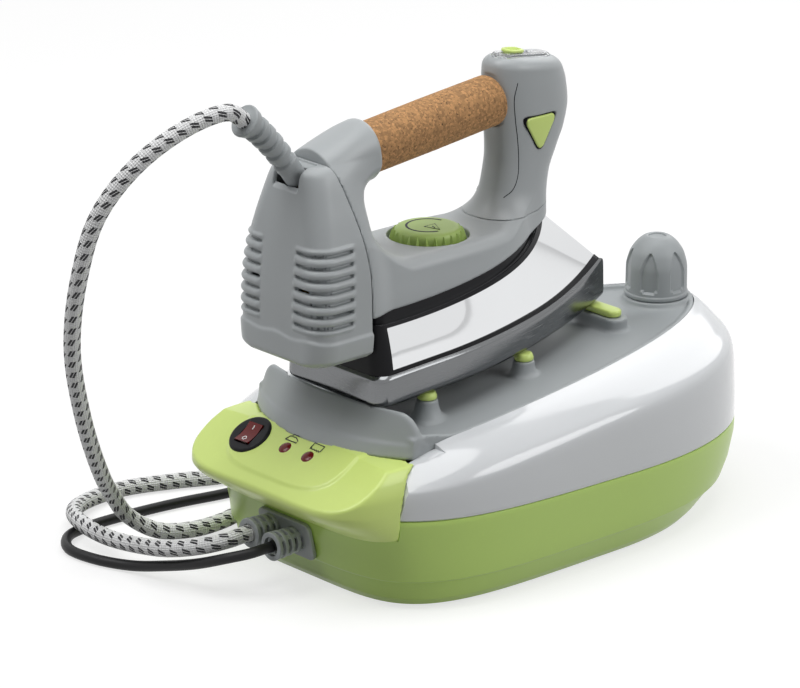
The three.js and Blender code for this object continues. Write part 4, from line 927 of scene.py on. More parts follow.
def hose_route():
    """Base gland, round the front left, down the far side, back again and up to the iron."""
    floor = HOSE_RADIUS + GAP
    x, y, z = HOSE_EXIT
    return [
        (x, y - GAP, z), (x, y - 7, z), (x - 0.5, FRONT - 10, 35.5),
        (-26, FRONT - 22, 32), (-48, FRONT - 32, 26), (-78, FRONT - 35, 20.5),
        (-112, FRONT - 35, 16.5), beside(31, FRONT - 28, 14.5), beside(61, FRONT - 10, 10),
        beside(77, FRONT + 17, 6.5), beside(79, FRONT + 47, floor), beside(67, FRONT + 81, floor),
        beside(52, FRONT + 115, floor), beside(53, MID - 50, floor), beside(75, MID + 20, floor),
        beside(99, REAR - 87, floor), beside(100, REAR - 22, floor), beside(73, REAR + 31, floor),
        beside(28, REAR + 43, floor), beside(-14, REAR + 17, floor), beside(-27, REAR - 22, floor),
        beside(-13, REAR - 87, floor), beside(-1, MID + 35, floor), beside(2, MID - 20, floor),
        beside(2, FRONT + 137, floor), beside(-4, FRONT + 92, floor), beside(-13, FRONT + 57, floor),
        beside(-12, FRONT + 31, 6.2), beside(-2, FRONT + 10, 8.5), beside(8, FRONT - 6, 20),
        beside(6, FRONT - 21, 40), beside(-10, FRONT - 43, 67), (-85, FRONT - 73, 119),
        (-65, FRONT - 95, 175), (-48, FRONT - 101, 226), (-35, FRONT - 95, 268),
        (-20, FRONT - 74, 301), (-7, FRONT - 42, 322),
        RELIEF_MOUTH + RELIEF_OUT * 14, RELIEF_MOUTH + RELIEF_OUT * GAP,
    ]


COIL_X, COIL_Y, COIL_Z, COIL_RADIUS, COIL_PASSES = -HALF - 46, REAR - 47, 9.6, 40, 4
COIL_HALF = 7.4         # half of the bundle's own thickness
PLUG_Z = COIL_Z + COIL_HALF + GAP + 3.3


def lead_route():
    """Base gland, round the near corner of the floor run, along the far side and into its coil."""
    floor = CORD_RADIUS + GAP
    x, y, z = CORD_EXIT
    cx, cy, r = COIL_X, COIL_Y, COIL_RADIUS
    lay = CORD_RADIUS + 0.1
    run = [
        (x, y - GAP, z), (x, y - 6, z), (x - 2, FRONT - 9, 32),
        (-6, FRONT - 19, 28.5), (-28, FRONT - 26, 20), (-56, FRONT - 31, 11.5),
        (-84, FRONT - 37, 5), (-112, FRONT - 46, floor), beside(20, FRONT - 47, floor),
        beside(38, FRONT - 33, floor), beside(43, FRONT - 10, floor), beside(41, FRONT + 30, floor),
        beside(36, FRONT + 64, floor), beside(29, FRONT + 95, floor), beside(22, MID - 60, floor),
        beside(19, MID, floor), beside(12, cy - 90, floor),
        (cx + r + 1, cy - 50, floor + 0.5), (cx + r + 3, cy - 26, COIL_Z - 4),
    ]
    slots = [(r + lay, -lay), (r - lay, -lay), (r - lay, lay), (r + lay, lay)]
    path = through(run, 8)
    per_lap = 16
    for k in range(1, (COIL_PASSES - 1) * per_lap + per_lap // 4 + 1):
        angle = k / per_lap * 2 * math.pi
        lap, share = divmod(k / per_lap + 0.12, 1)
        lap = min(int(lap), COIL_PASSES - 1)
        ahead = min(lap + 1, COIL_PASSES - 1)
        step = float(ramp((share - 0.88) / 0.12))
        radius = slots[lap][0] * (1 - step) + slots[ahead][0] * step
        height = slots[lap][1] * (1 - step) + slots[ahead][1] * step
        path.append(np.array([cx + radius * math.cos(angle), cy + radius * math.sin(angle),
                              COIL_Z + height]))
    end = cx - r - COIL_HALF + 15
    tail = [
        (cx - 18, cy + r + 7.5, COIL_Z + 3), (cx - 36, cy + r + 15, COIL_Z + 1.5),
        (cx - 51, cy + r + 11, COIL_Z + 2), (cx - 61, cy + r - 4, COIL_Z + 4.5),
        (cx - 62, cy + 19, COIL_Z + 8), (cx - 54, cy + 5, PLUG_Z - 0.4), (end - 5, cy, PLUG_Z),
        (end, cy, PLUG_Z),
    ]
    return through(run + path[len(through(run, 8)):] + [np.array(p, float) for p in tail], 5)


def laid_tube(name, path, radius, material, n):
    """Tube mesh with a UV map: turns round it, and metres along it."""
    obj = piece(name, tube(path, radius, n), material, None, recalculate=False)
    mesh = obj.data
    length = np.concatenate([[0], np.cumsum(np.linalg.norm(np.diff(path, axis=0), axis=1))]) / 1000
    layer = mesh.uv_layers.new(name="lay")
    uv = np.zeros((len(mesh.loops), 2))
    for polygon in mesh.polygons:
        corners = list(polygon.loop_indices)
        around = [mesh.loops[i].vertex_index % n for i in corners]
        wraps = max(around) - min(around) > n / 2
        for i, place in zip(corners, around):
            turn = place + n if wraps and place < n / 2 else place
            uv[i] = (turn / n, length[mesh.loops[i].vertex_index // n])
    layer.data.foreach_set("uv", uv.astype(np.float32).ravel())
    return obj


def relief_shape():
    """Ribbed sleeve swelling towards its collared mouth, bent like the hose it guards."""

    def at(t):
        return (1 - t) ** 2 * RELIEF_START + 2 * t * (1 - t) * RELIEF_KNEE + t * t * RELIEF_MOUTH

    stations = [(-0.12, 7.4), (0.03, 7.4)]
    for i in range(5):
        t, r = 0.06 + i * 0.15, 8 + i / 5
        stations += [(t, r - 0.9), (t + 0.012, r), (t + 0.068, r), (t + 0.08, r - 0.9),
                     (t + 0.085, r - 1.9), (t + 0.14, r - 1.9)]
    stations += [(0.84, 8.9), (0.86, 9.8), (0.93, 10.3), (0.96, 10.8), (0.985, 10.8), (1.0, 10.1)]
    path = [at(t) if t > 0 else RELIEF_START + RELIEF_AXIS * t * 60 for t, _ in stations]
    path.append(RELIEF_MOUTH - RELIEF_OUT * 0.05)
    return tube(path, [r for _, r in stations] + [6.4], 40)


class CORD_OT_steam_hose(bpy.types.Operator):
    """Lay the braided steam hose and its ribbed sleeve on the iron"""
    bl_idname = "steam_iron.steam_hose"
    bl_label = "Steam hose"

    def execute(self, context):
        relief = piece("hose_sleeve", relief_shape(), "grey_plastic", "iron", sharp=25)
        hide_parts("iron_strain_relief")
        path = through(hose_route(), 8)
        hose = laid_tube("braided_hose", path, HOSE_RADIUS, "braid", 20)
        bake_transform(hose)
        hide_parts("steam_hose")
        return {"FINISHED"}


class CORD_OT_mains_lead(bpy.types.Operator):
    """Lay the mains lead, its tied coil and its plug"""
    bl_idname = "steam_iron.mains_lead"
    bl_label = "Mains lead"

    def execute(self, context):
        path = lead_route()
        lead = laid_tube("mains_lead", path, CORD_RADIUS, "cord_black", 14)
        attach(lead, "base")
        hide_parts("mains_cord", "mains_coil")
        strap_r, turn = 8.3, np.arange(40) / 40 * 2 * np.pi
        rings = [np.column_stack([np.full(40, COIL_X + x),
                                  COIL_Y + COIL_RADIUS + (strap_r + thick) * np.cos(turn),
                                  COIL_Z + (strap_r + thick) * np.sin(turn)])
                 for thick, x in ((0, -5), (0.9, -5.2), (0.9, 5.2), (0, 5))]
        tie = piece("coil_strap", loft(rings, True), "rubber", "base")
        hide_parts("mains_tie")
        start = (COIL_X - COIL_RADIUS - COIL_HALF, COIL_Y, PLUG_Z)
        m = Matrix.Translation(start) @ Matrix.Rotation(math.pi / 2, 4, "Y") @ Matrix.Rotation(
            math.pi / 2, 4, "Z")
        sleeve = [(0, 14.6), (5.0, 14.6), (5.6, 15.2)]
        for i in range(4):
            z = 16.4 + i * 2.7
            sleeve += [(6.2, z), (6.2, z + 1.3), (5.2, z + 1.7), (5.2, z + 2.5)]
        shell = eased([(6.8, 27.5), (15, 29.5), (19.2, 35), (19.4, 48), (18.2, 50), (18.2, 57), (17, 60),
                       (0, 60)], 2.2)
        plug = piece("plug_body", turned(lathe(sleeve + shell, 64), m), "cord_black", "base", sharp=30)
        pins = [lathe([(0, 58), (2.4, 58), (2.4, 77), (1.9, 78.6), (1.0, 79.2), (0, 79.3)], 20, (x, 0, 0))
                for x in (-9.5, 9.5)]
        prongs = piece("plug_pins", turned(joined(*pins), m), "brass", "base")
        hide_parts("mains_plug")
        return {"FINISHED"}


# ------------------------------------------------------------------ base shells
# Height, side inset, front inset, rear inset and front squareness of the lower shell.
LOWER_LEVELS = [(3, 11, 17, 40, 4.6), (7, 8, 14, 34, 4.4), (19.4, 3.6, 10.6, 15.5, 4),
                (20.6, 1.3, 8.5, 13.2, 4), (32, 0.6, 6.5, 5.5, 3.9)]
STOP_HALF = 76          # half-width of the heel stop
# Where the tray's rim leaves the ends of the heel stop, and how it widens there.
EAR_FRONT = PANEL_BACK + 28
EAR_LENGTH, EAR_HALF, EAR_SPREAD = 40, 76.2, 4.8


def shoulder_line(shift):
    line = [(0, 45), (0, 66), (3, 80), (9, 90.5), (18, 96), (30, 99), (39, 101), (44, 200)]
    return [(PANEL_BACK + y + shift, z - shift) for y, z in line]


def panel_rear(x):
    return FRONT + PANEL_DEPTH + 27 * np.abs(x / STOP_HALF) ** 2.2


def stop_top(x):
    return HEEL_Y - 6.5 + 9 * (x / 64) ** 2


class BASE_OT_lower_shell(bpy.types.Operator):
    """Mould the lime lower shell with its tucked-in shoulder"""
    bl_idname = "steam_iron.lower_shell"
    bl_label = "Lower shell"

    def execute(self, context):
        wall = context.scene.steam_iron.wall
        levels = eased(LOWER_LEVELS, 1.2)
        foot, *insets, squareness = levels[0]
        outer = [body_outline(*(inset + 1.4 for inset in insets), lambda x, y: foot - 0.3, squareness)]
        outer += [body_outline(s, f, r, lambda x, y, z=z: z, n) for z, s, f, r, n in levels]
        top = [(0.25, -9), (0, -4), (0, -1.2), (0.35, -0.35), (1.0, 0)]
        outer += [body_outline(i, i, i, lambda x, y, d=d: split_height(y) + d) for i, d in top]
        inner = [body_outline(wall, wall, wall, lambda x, y: split_height(y))]
        inner += [body_outline(s + wall, f + wall, r + wall, lambda x, y, z=z: max(z, 8.0), n)
                  for z, s, f, r, n in LOWER_LEVELS[:0:-1]]
        inner.append(body_outline(14, 20, 42, lambda x, y: 6.5, 4.6))
        # The lower shell takes the lime painted darker and greener, as painted shade.
        shell = piece("lower_shell_moulding", loft(outer + inner), "deep_lime", None)
        step = slab([(FRONT - 20, SEAM_HEIGHT), (PANEL_BACK, SEAM_HEIGHT), (PANEL_BACK, 90),
                     (FRONT - 20, 90)])
        port = turned(prism(stadium(43, 21, 9), -12, 8), wall_frame())
        sculpt(shell, [step, port])
        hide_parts("lower_shell")
        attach(shell, "base")
        return {"FINISHED"}


class BASE_OT_upper_shell(bpy.types.Operator):
    """Mould the glossy white shell from the seam up to the tray's rim"""
    bl_idname = "steam_iron.upper_shell"
    bl_label = "Upper shell"

    def execute(self, context):
        wall = context.scene.steam_iron.wall

        def rings(extra):
            inset = wall * extra
            side = body_outline(inset, inset, inset, lambda x, y: 0 * x)
            rim = rim_outline(0, lambda x, y: 0 * x)
            out = []
            for t, drop in ((0.08, 17 + 2.6 * extra), (0.35, 8.5 + 3 * extra), (0.7, 2.5 + 3.1 * extra)):
                ring = side * (1 - t) + rim * t
                ring[:, 2] = rim_height(ring[:, 1]) - drop
                out.append(ring)
            first = body_outline(*[inset] * 3, lambda x, y: split_height(y) + GAP)
            second = body_outline(*[inset + 0.3] * 3, lambda x, y: 80 - 2 * extra + 0 * x)
            last = rim_outline(0, lambda x, y: rim_height(y) - 3.2 * extra)
            return [first, second] + out + [last]

        outer = through(rings(0), 6)
        lip = outer[0].copy()
        lip[:, :2] *= 0.9955
        outer[0][:, 2] += 0.9
        inner = through(rings(1), 4)[::-1]
        shell = piece("upper_shell_moulding", loft([lip] + outer + inner, True), "white_plastic", None)
        front = slab([(FRONT - 60, 45)] + shoulder_line(0) + [(FRONT - 60, 200)])
        right = [(EAR_HALF, FRONT - 10), (EAR_HALF, EAR_FRONT),
                 (EAR_HALF + EAR_SPREAD, EAR_FRONT + EAR_LENGTH)]
        window = prism(right + [(-x, y) for x, y in right[::-1]], 84, 130)
        sculpt(shell, [front, window])
        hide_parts("upper_shell")
        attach(shell, "base")
        return {"FINISHED"}


# ------------------------------------------------------------------ tray
PADS = [(-41, HEEL_Y + 47), (41, HEEL_Y + 47), (-36, HEEL_Y + 138), (36, HEEL_Y + 138)]
PAD_DROP = 5.5
TIP_PAD_Y, TIP_PAD_HALF = HEEL_Y + 236, 26
COLLAR_RADIUS, COLLAR_TOP, COLLAR_BORE = 23.2, 124.6, 14.9    # the boiler cap's collar on the tray


def seat_field(x, y, z, cx, cy, top):
    out = np.hypot(x - cx, y - cy) - (7.2 + 4.2 * clamp01((top - z) / 13) ** 2.0)
    return trim(out, z - top, 0.8)


def tray_field(x, y, z):
    rim = oval_field(x, y, RIM["a"] - GAP, RIM["front"] - GAP, RIM["rear"] - GAP, RIM["mid"],
                     *RIM_EXPONENTS)
    ear = np.abs(x) - EAR_HALF + GAP - EAR_SPREAD * clamp01((y - EAR_FRONT) / EAR_LENGTH)
    rim = np.minimum(rim, np.maximum(ear, np.abs(y - EAR_FRONT - 17) - 23))
    surface = rim_height(y) - 2.8 * ramp((-rim - 3.0) / 2.6)
    surface = surface + 6.0 * ramp((EAR_FRONT + 34 - y) / 32) ** 1.5 * ramp((rim + 15) / 9)
    plate = trim(rim, z - surface, 1.0)
    along = np.minimum(np.abs(x), STOP_HALF)
    droop = 1 - np.sqrt(1 - clamp01((along - 61) / 15.3) ** 2)
    top = STOP_HEIGHT - 21 * droop
    back = np.maximum(stop_top(along), panel_rear(along) + 3)
    climb = clamp01((z - 98.5) / np.maximum(top - 100, 1))
    ahead = panel_rear(along) + 0.2 + (back - panel_rear(along)) * climb + 0.9 * ramp((z - 105) / 3) - y
    astern = y - back - 5.6 - 4.5 * clamp01((top - 1.5 - z) / np.maximum(top - 105, 1)) ** 1.5
    wall = trim(trim(ahead * 0.8, astern, 0.8), (z - top) * 0.85, 1.9)
    wall = trim(wall, np.abs(x) - STOP_HALF + 0.2, 1.5)
    body = weld(plate, wall, 2.5)
    cap_axis = np.hypot(x, y - CAP_Y)
    body = weld(body, trim(cap_axis - COLLAR_RADIUS, z - COLLAR_TOP, 1.2), 3.5)
    for cx, cy in PADS:
        body = weld(body, seat_field(x, y, z, cx, cy, sole_height(cy) - PAD_DROP - GAP), 3)
    low, high = np.abs(x) - TIP_PAD_HALF + 3.5, np.abs(y - TIP_PAD_Y)
    bar = np.hypot(np.maximum(low, 0), high) - 8.5
    tip_top = sole_height(TIP_PAD_Y) - PAD_DROP - GAP
    body = weld(body, trim(bar, z - tip_top, 1.0), 3.0)
    under = np.where(y < HEEL_Y + 14, 96.9, rim_height(y) - 8) - z
    body = trim(body, under, 0.6)
    sole = shoe_field(x, y, HEEL_Y - 0.7, TIP_Y + 1.3, SOLE_HALF + 0.7, HEEL_Y + 63, 1.8, 11)
    body = carve(body, np.maximum(sole, sole_height(y) - GAP - z), 0.5)
    body = carve(body, cap_axis - COLLAR_BORE, 0.8)
    for cx, cy in PADS:
        body = np.maximum(body, 2.6 - np.hypot(x - cx, y - cy))
    return body


class BASE_OT_tray(bpy.types.Operator):
    """Mould the grey tray: rimmed plate, heel stop, cap collar and pad seats"""
    bl_idname = "steam_iron.tray"
    bl_label = "Top tray"

    def execute(self, context):
        tray = moulded("tray_moulding", "top_tray", tray_field, 1.3, "grey_plastic", "base")
        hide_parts("top_tray")
        return {"FINISHED"}


# ------------------------------------------------------------------ control panel
def panel_face(x, y):
    climb = LIP_HEIGHT + PANEL_RISE * (y - FRONT) / PANEL_DEPTH
    return np.minimum(climb, LIP_HEIGHT + PANEL_RISE + 1.5) - 3 * (x / 80) ** 2


def panel_frame(x, y):
    dx = (panel_face(x + 4, y) - panel_face(x - 4, y)) / 8
    dy = (panel_face(x, y + 4) - panel_face(x, y - 4)) / 8
    return frame_of((x, y, panel_face(x, y)), (-dx, -dy, 1), (1, 0, dx))


def wall_frame():
    """The front wall's port: Z points out of the wall."""
    return Matrix.Translation((-4, FRONT + 31.25, 34)) @ Matrix.Rotation(math.pi / 2 + 0.225, 4, "X")


SWITCH = (-38.5, FRONT + 29)
LAMPS = {"power": (-4, FRONT + 29), "steam": (18, FRONT + 29)}
PANEL_PAD = (53, 30.5, 30, FRONT + 38)    # the raised pad's half-width, its reach each way and middle
VENT_PITCH, VENT_HALF, VENT_RADIUS, VENT_HEIGHT = 22, 5, 1.3, 60.5    # slots under the lip


def hole_field(x, y, z, place, radius):
    m = np.array(panel_frame(*place))
    p = (x - m[0, 3], y - m[1, 3], z - m[2, 3])
    u, v = (sum(a * b for a, b in zip(p, m[:3, k])) for k in (0, 1))
    return np.hypot(u, v) - radius


def panel_field(x, y, z):
    reach = glide(z, [44, 50.3, 58, 66, 71, 78, 89, 97, 112], [68, 72, 83, 94, 97, 97, 96.5, 95, 93])
    inset = glide(z, [44, 71, 78, 89, 97, 112], [0, 0, 0.3, 3.2, 7.5, 13])
    skin = oval_field(x, y, 89.5 - inset, reach - inset, 30, FRONT + 97, 5.3, 8)
    pad = oval_field(x, y, *PANEL_PAD, 3.4, 3.4)
    face = panel_face(x, y) + 1.5 * ramp(-pad / 2.4 + 0.4)
    rise = (z - face) / 1.17
    body = trim(skin, rise, 1.3)
    body = trim(body, SEAM_HEIGHT + GAP - z, 0.5)
    back = PANEL_BACK + glide(z, [45, 66, 80, 90.5, 96, 99, 101, 110], [0, 0, 3, 9, 18, 30, 39, 44])
    slope = 1 + 0.35 * clamp01((z - 70) / 20) + 2.2 * clamp01((z - 90) / 8)
    body = trim(body, (y - back + GAP) / slope, 0.5)
    body = carve(body, np.maximum(skin + 3, rise + 3), 0.3)
    under = np.maximum(panel_rear(np.minimum(np.abs(x), 80)) - GAP - y, 96.4 - z)
    body = carve(body, under, 0.3)
    body = carve(body, hole_field(x, y, z, SWITCH, 11.4), 0.4)
    for place in LAMPS.values():
        body = carve(body, hole_field(x, y, z, place, 3.2), 0.3)
    vent = np.abs((x + 1.5 * VENT_PITCH) % VENT_PITCH - VENT_PITCH / 2) - VENT_HALF
    vent = np.hypot(np.maximum(vent, 0), z - VENT_HEIGHT) - VENT_RADIUS
    vent = np.maximum(np.maximum(vent, np.abs(x) - 2 * VENT_PITCH), y - FRONT - 47)
    return carve(body, vent, 0.4)


class BASE_OT_control_panel(bpy.types.Operator):
    """Mould the lime control panel with its lip, cheeks and raised pad"""
    bl_idname = "steam_iron.control_panel"
    bl_label = "Control panel"

    def execute(self, context):
        panel = moulded("control_panel_moulding", "control_panel", panel_field, 1.1, "lime_plastic",
                        "base", above=1)
        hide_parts("control_panel")
        return {"FINISHED"}


def strokes(lines, radius):
    """Printed line drawing in the XY plane, slightly proud of it."""
    shapes = []
    for line in lines:
        path = [np.array([px, py, 0.0]) for px, py in line]
        shape = tube(path, radius, 8)
        shape[0][:, 2] *= 0.5
        shapes.append(shape)
    return joined(*shapes)


def arc(r, a0, a1, n):
    """Points round the origin, from a0 to a1 degrees."""
    return [(r * math.cos(math.radians(a)), r * math.sin(math.radians(a))) for a in np.linspace(a0, a1, n)]


class BASE_OT_switches(bpy.types.Operator):
    """Fit the rocker switch, its bezel, the two lamps and their symbols"""
    bl_idname = "steam_iron.switches"
    bl_label = "Switch and lamps"

    def execute(self, context):
        at = panel_frame(*SWITCH)
        ring = eased([(11, -14), (11, 0.3), (15.4, 0.3), (15.4, 1.8), (14.2, 3.1), (11.4, 3.0)], 0.9)
        ring = lathe([(0, -14)] + ring + [(0, 2.5)], 96)
        bezel = piece("bezel", turned(ring, at), "black_plastic", None)
        sculpt(bezel, [turned(prism(stadium(14.4, 18, 1), -11, 29), at)])
        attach(bezel, "base")
        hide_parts("switch_bezel")
        half = 8.1
        dish = [(-half, 1.6)] + [(v, 1.6 - 1.35 * (1 - (v / half) ** 2)) for v in np.linspace(-7, 7, 15)]
        dish += [(half, 1.6), (half - 0.9, -3.6)]
        dish += [(v, -3.8 - 2.5 * (1 - (v / 7.2) ** 2)) for v in np.linspace(6.4, -6.4, 9)]
        dish += [(-half + 0.9, -3.6)]
        slices = [np.array([(x, v * share, h + 2.6) for v, h in dish[::-1]])
                  for x, share in ((-6.4, 0.97), (-6.6, 1), (6.6, 1), (6.4, 0.97))]
        rocker = piece("rocker", turned(loft(slices), at), "red_plastic", "switch_rocker", bevel=0.35)
        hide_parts("rocker_switch")
        bar = strokes([[(0, -1.5), (0, 1.5)]], 0.4)
        zero = strokes([arc(1.5, 0, 360, 25)], 0.36)
        marks = joined(*(turned(mark, Matrix.Translation((0, v, 3.34)) @ Matrix.Rotation(tilt, 4, "X"))
                         for mark, v, tilt in ((bar, 4.7, 0.19), (zero, -4.7, -0.19))))
        piece("rocker_marks", turned(marks, at), "print_white", "switch_rocker")
        for name, place in LAMPS.items():
            lens = eased([(0, -12), (2.9, -12), (2.9, 0.3), (4.8, 0.3), (4.7, 1.2), (2.8, 2.1),
                          (0, 2.4)], 0.8)
            jewel = turned(lathe(lens, 48), panel_frame(*place))
            glass = piece("lamp_jewel_" + name, jewel, "red_plastic", "base")
            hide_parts("lamp_" + name)
        iron = strokes([
            [(-4, -1.8), (4.2, -1.8), (4.2, -0.4), (1.5, 1.0), (-2.6, 1.0), (-4, -1.8)],
            [(-1.8, 1.0), (-1.2, 2.4), (2.6, 2.4)],
        ], 0.28)
        tank = strokes([
            [(-3.6, -1.4), (-3.6, 2), (3.6, 2), (3.6, -1.4), (2.9, -2), (2.1, -1.4), (1.3, -2), (0.5, -1.4),
             (-0.3, -2), (-1.1, -1.4), (-1.9, -2), (-2.8, -1.4), (-3.6, -2), (-3.6, -1.4)],
        ], 0.28)
        for name, drawing, (px, py) in (("symbol_iron", iron, (-4, FRONT + 36)),
                                        ("symbol_steam", tank, (19.5, FRONT + 36.3))):
            m = panel_frame(px, py) @ Matrix.Translation((0, 0, 1.55)) @ Matrix.Scale(1.3, 4)
            piece(name, turned(drawing, m), "print_dark", "base")
        return {"FINISHED"}


# ------------------------------------------------------------------ glands
def port_frame(exit_point):
    """Where a cord leaves the base: Z runs back into the base."""
    return Matrix.Translation(exit_point) @ Matrix.Rotation(-math.pi / 2, 4, "X")


def gland_shapes(mouth):
    """Cage-like sleeve: five rims and four bars between them."""
    rims = []
    for i in range(5):
        z = i * 5.4
        r = mouth - 0.3 * i
        rim = eased([(6.4, z), (r, z), (r, z + 2.9), (6.4, z + 2.9)], 0.6)
        rims.append(lathe(rim + [(6.4, z)], 48))
    bars = []
    for k in range(4):
        turn = Matrix.Rotation(math.radians(45 + 90 * k), 4, "Z")
        bars.append(turned(prism(stadium(1.9, 3.4, 0.6), 0.5, 26), turn @ Matrix.Translation((7.6, 0, 0))))
    return joined(*rims, *bars)


class BASE_OT_glands(bpy.types.Operator):
    """Fit the grey port plate and the two cage-like sleeves"""
    bl_idname = "steam_iron.glands"
    bl_label = "Cord ports"

    def execute(self, context):
        plate = piece("port_plate", turned(prism(stadium(50, 27, 5), 0, 3.2, 0.8), wall_frame()),
                      "grey_plastic", None)
        hole = prism(stadium(12.6, 12.6, 6.29), -30, 45)
        sculpt(plate, [turned(hole, port_frame(exit_point)) for exit_point in (HOSE_EXIT, CORD_EXIT)])
        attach(plate, "base")
        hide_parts("gland_plate")
        for name, exit_point, mouth, node, core, tone in (
                ("hose_port_sleeve", HOSE_EXIT, 10.0, "hose_gland", 5.5, "print_white"),
                ("lead_port_sleeve", CORD_EXIT, 9.6, "cord_gland", 3.6, "cord_black")):
            m = port_frame(exit_point)
            sleeve = piece(name, turned(gland_shapes(mouth), m), "grey_plastic", "base",
                           recalculate=False)
            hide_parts(node)
            rod = lathe([(0, 0.4), (core, 0.4), (core, 32), (0, 32)], 32)
            piece(name + "_core", turned(rod, m), tone, "base")
        return {"FINISHED"}


# ------------------------------------------------------------------ feet and pads
FEET = [(-HALF * 0.62, FRONT + 80), (HALF * 0.62, FRONT + 80), (-HALF * 0.5, REAR - 88),
        (HALF * 0.5, REAR - 88)]


def points_at(places):
    return np.array(places, float).reshape(-1, 3), []


class BASE_OT_feet(bpy.types.Operator):
    """Screw the four rubber feet under the base"""
    bl_idname = "steam_iron.feet"
    bl_label = "Feet"

    def execute(self, context):
        places = points_at([(x, y, 0) for x, y in FEET])
        profile = eased([(4.4, 0), (8, 0), (9, 1.2), (9, 2.7), (2, 2.7), (2, 1.9), (4.4, 1.9)], 0.4)
        pad = lathe(profile + [(4.4, 0)], 40)
        sides = ("front_left", "front_right", "rear_left", "rear_right")
        feet = repeat("rubber_feet", "pattern at places", places, pad, "rubber", "base", Scale=1.0)
        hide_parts(*["foot_" + side for side in sides])
        head = [(0, 0.5), (3.0, 0.5), (3.5, 1.0), (3.5, 1.6), (1.6, 1.7)]
        thread = [(1.6 if k % 2 else 1.35, 2.2 + 0.4 * k) for k in range(26)]
        screw = lathe(head + thread + [(1.0, 13.2), (0, 13.8)], 20)
        screws = repeat("foot_screws", "pattern at places", places, screw, "steel", "base", Scale=1.0)
        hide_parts(*["foot_screw_" + side for side in sides])
        return {"FINISHED"}


class BASE_OT_rest_pads(bpy.types.Operator):
    """Set the lime pads that the soleplate rests on"""
    bl_idname = "steam_iron.rest_pads"
    bl_label = "Rest pads"

    def execute(self, context):
        profile = eased([(0, -6), (2.3, -6), (2.3, 0), (6.4, 0), (6.6, 2.2), (5.4, 4.9), (0, 5.0)], 0.9)
        places = points_at([(x, y, sole_height(y) - PAD_DROP) for x, y in PADS])
        bead = lathe(profile, 40)
        pads = repeat("rest_pad_beads", "pattern at places", places, bead, "lime_plastic", "base",
                      Scale=1.0)
        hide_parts("rest_pad_front_left", "rest_pad_front_right", "rest_pad_mid_left",
                    "rest_pad_mid_right")
        seat = sole_height(TIP_PAD_Y) - PAD_DROP
        top = sole_height(TIP_PAD_Y - 7) - 0.5
        bar = prism(stadium(2 * TIP_PAD_HALF, 12, 5.9, 12), seat, top, 1.6)
        bar = turned(bar, Matrix.Translation((0, TIP_PAD_Y, 0)))
        tip = piece("rest_pad_bar", bar, "lime_plastic", "base")
        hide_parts("rest_pad_tip")
        return {"FINISHED"}


# ------------------------------------------------------------------ boiler cap
class BASE_OT_boiler_cap(bpy.types.Operator):
    """Turn the fluted boiler cap"""
    bl_idname = "steam_iron.boiler_cap"
    bl_label = "Boiler cap"

    def execute(self, context):
        flutes = context.scene.steam_iron.flutes
        height = CAP_TOP - CAP_BASE
        levels = eased([(CAP_RADIUS - 0.8, 0), (CAP_RADIUS, 0.6), (CAP_RADIUS, 2.6),
                        (CAP_RADIUS - 0.7, 3.4), (CAP_RADIUS - 0.7, 5)], 0.4)
        for t in np.linspace(0, 1, 40)[1:]:
            z = 5 + (height - 5) * math.sin(t * math.pi / 2)
            inset = glide(np.array(z), [5, 20, 30, 36.5, height - 0.9, height],
                          [0.7, 0.9, 3.2, 7.2, 12.2, 14.2])
            levels.append((CAP_RADIUS - float(inset), z))
        levels += [(6.6, height), (6.1, height - 0.25), (5.8, height - 1.1), (0, height - 1.35)]

        def fluted(angle, r, z):
            wave = np.abs((angle / (2 * np.pi) * flutes + 0.5) % 1 - 0.5) * 2
            arch = clamp01((z - 5) / 2.2) * np.sqrt(clamp01((33.5 - z) / 14))
            inside = ramp((0.62 * arch - wave) / 0.1)
            return r - 1.9 * inside * (1 - 0.25 * (wave / 0.6) ** 2) * float(3.5 < z < 34)

        shape = lathe(levels, 288, (0, CAP_Y, CAP_BASE), fluted)
        cap = piece("cap_shell", shape, "grey_plastic", None, sharp=38)
        hollow = prism(stadium(34.8, 34.8, 17.39, 16), -3, 23.5)
        sculpt(cap, [turned(hollow, Matrix.Translation((0, CAP_Y, CAP_BASE)))])
        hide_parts("cap_cover")
        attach(cap, "cap")
        return {"FINISHED"}


# ------------------------------------------------------------------ iron: sole, skirt and shield
class IRON_OT_soleplate(bpy.types.Operator):
    """Cast the satin soleplate"""
    bl_idname = "steam_iron.soleplate"
    bl_label = "Soleplate"

    def execute(self, context):
        # Inset, how far up from face to top, and offset in height.
        sections = eased([(3, 0, 0.0), (0, 0, 3.0), (0.4, 1, -2.2), (2.4, 1, 0.0)], 1.0)
        rings = [sole_shoe(i, lambda x, y, u=u, d=d: sole_height(y) * (1 - u) + sole_top(y) * u + d)
                 for i, u, d in sections]
        rings += [sole_shoe(9, lambda x, y: sole_top(y)), sole_shoe(9.6, lambda x, y: sole_height(y) + 9)]
        plate = piece("sole_casting", loft(rings), "aluminium", "iron", sharp=35)
        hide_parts("soleplate")
        return {"FINISHED"}


SKIRT_BULGE = 0.085


def skirt_between(foot, top, t):
    """Ring of the skirt at share t of its height."""
    ring = foot * (1 - t) + top * t
    ring[:, 0] *= 1 + SKIRT_BULGE * t * (1 - t)
    return ring


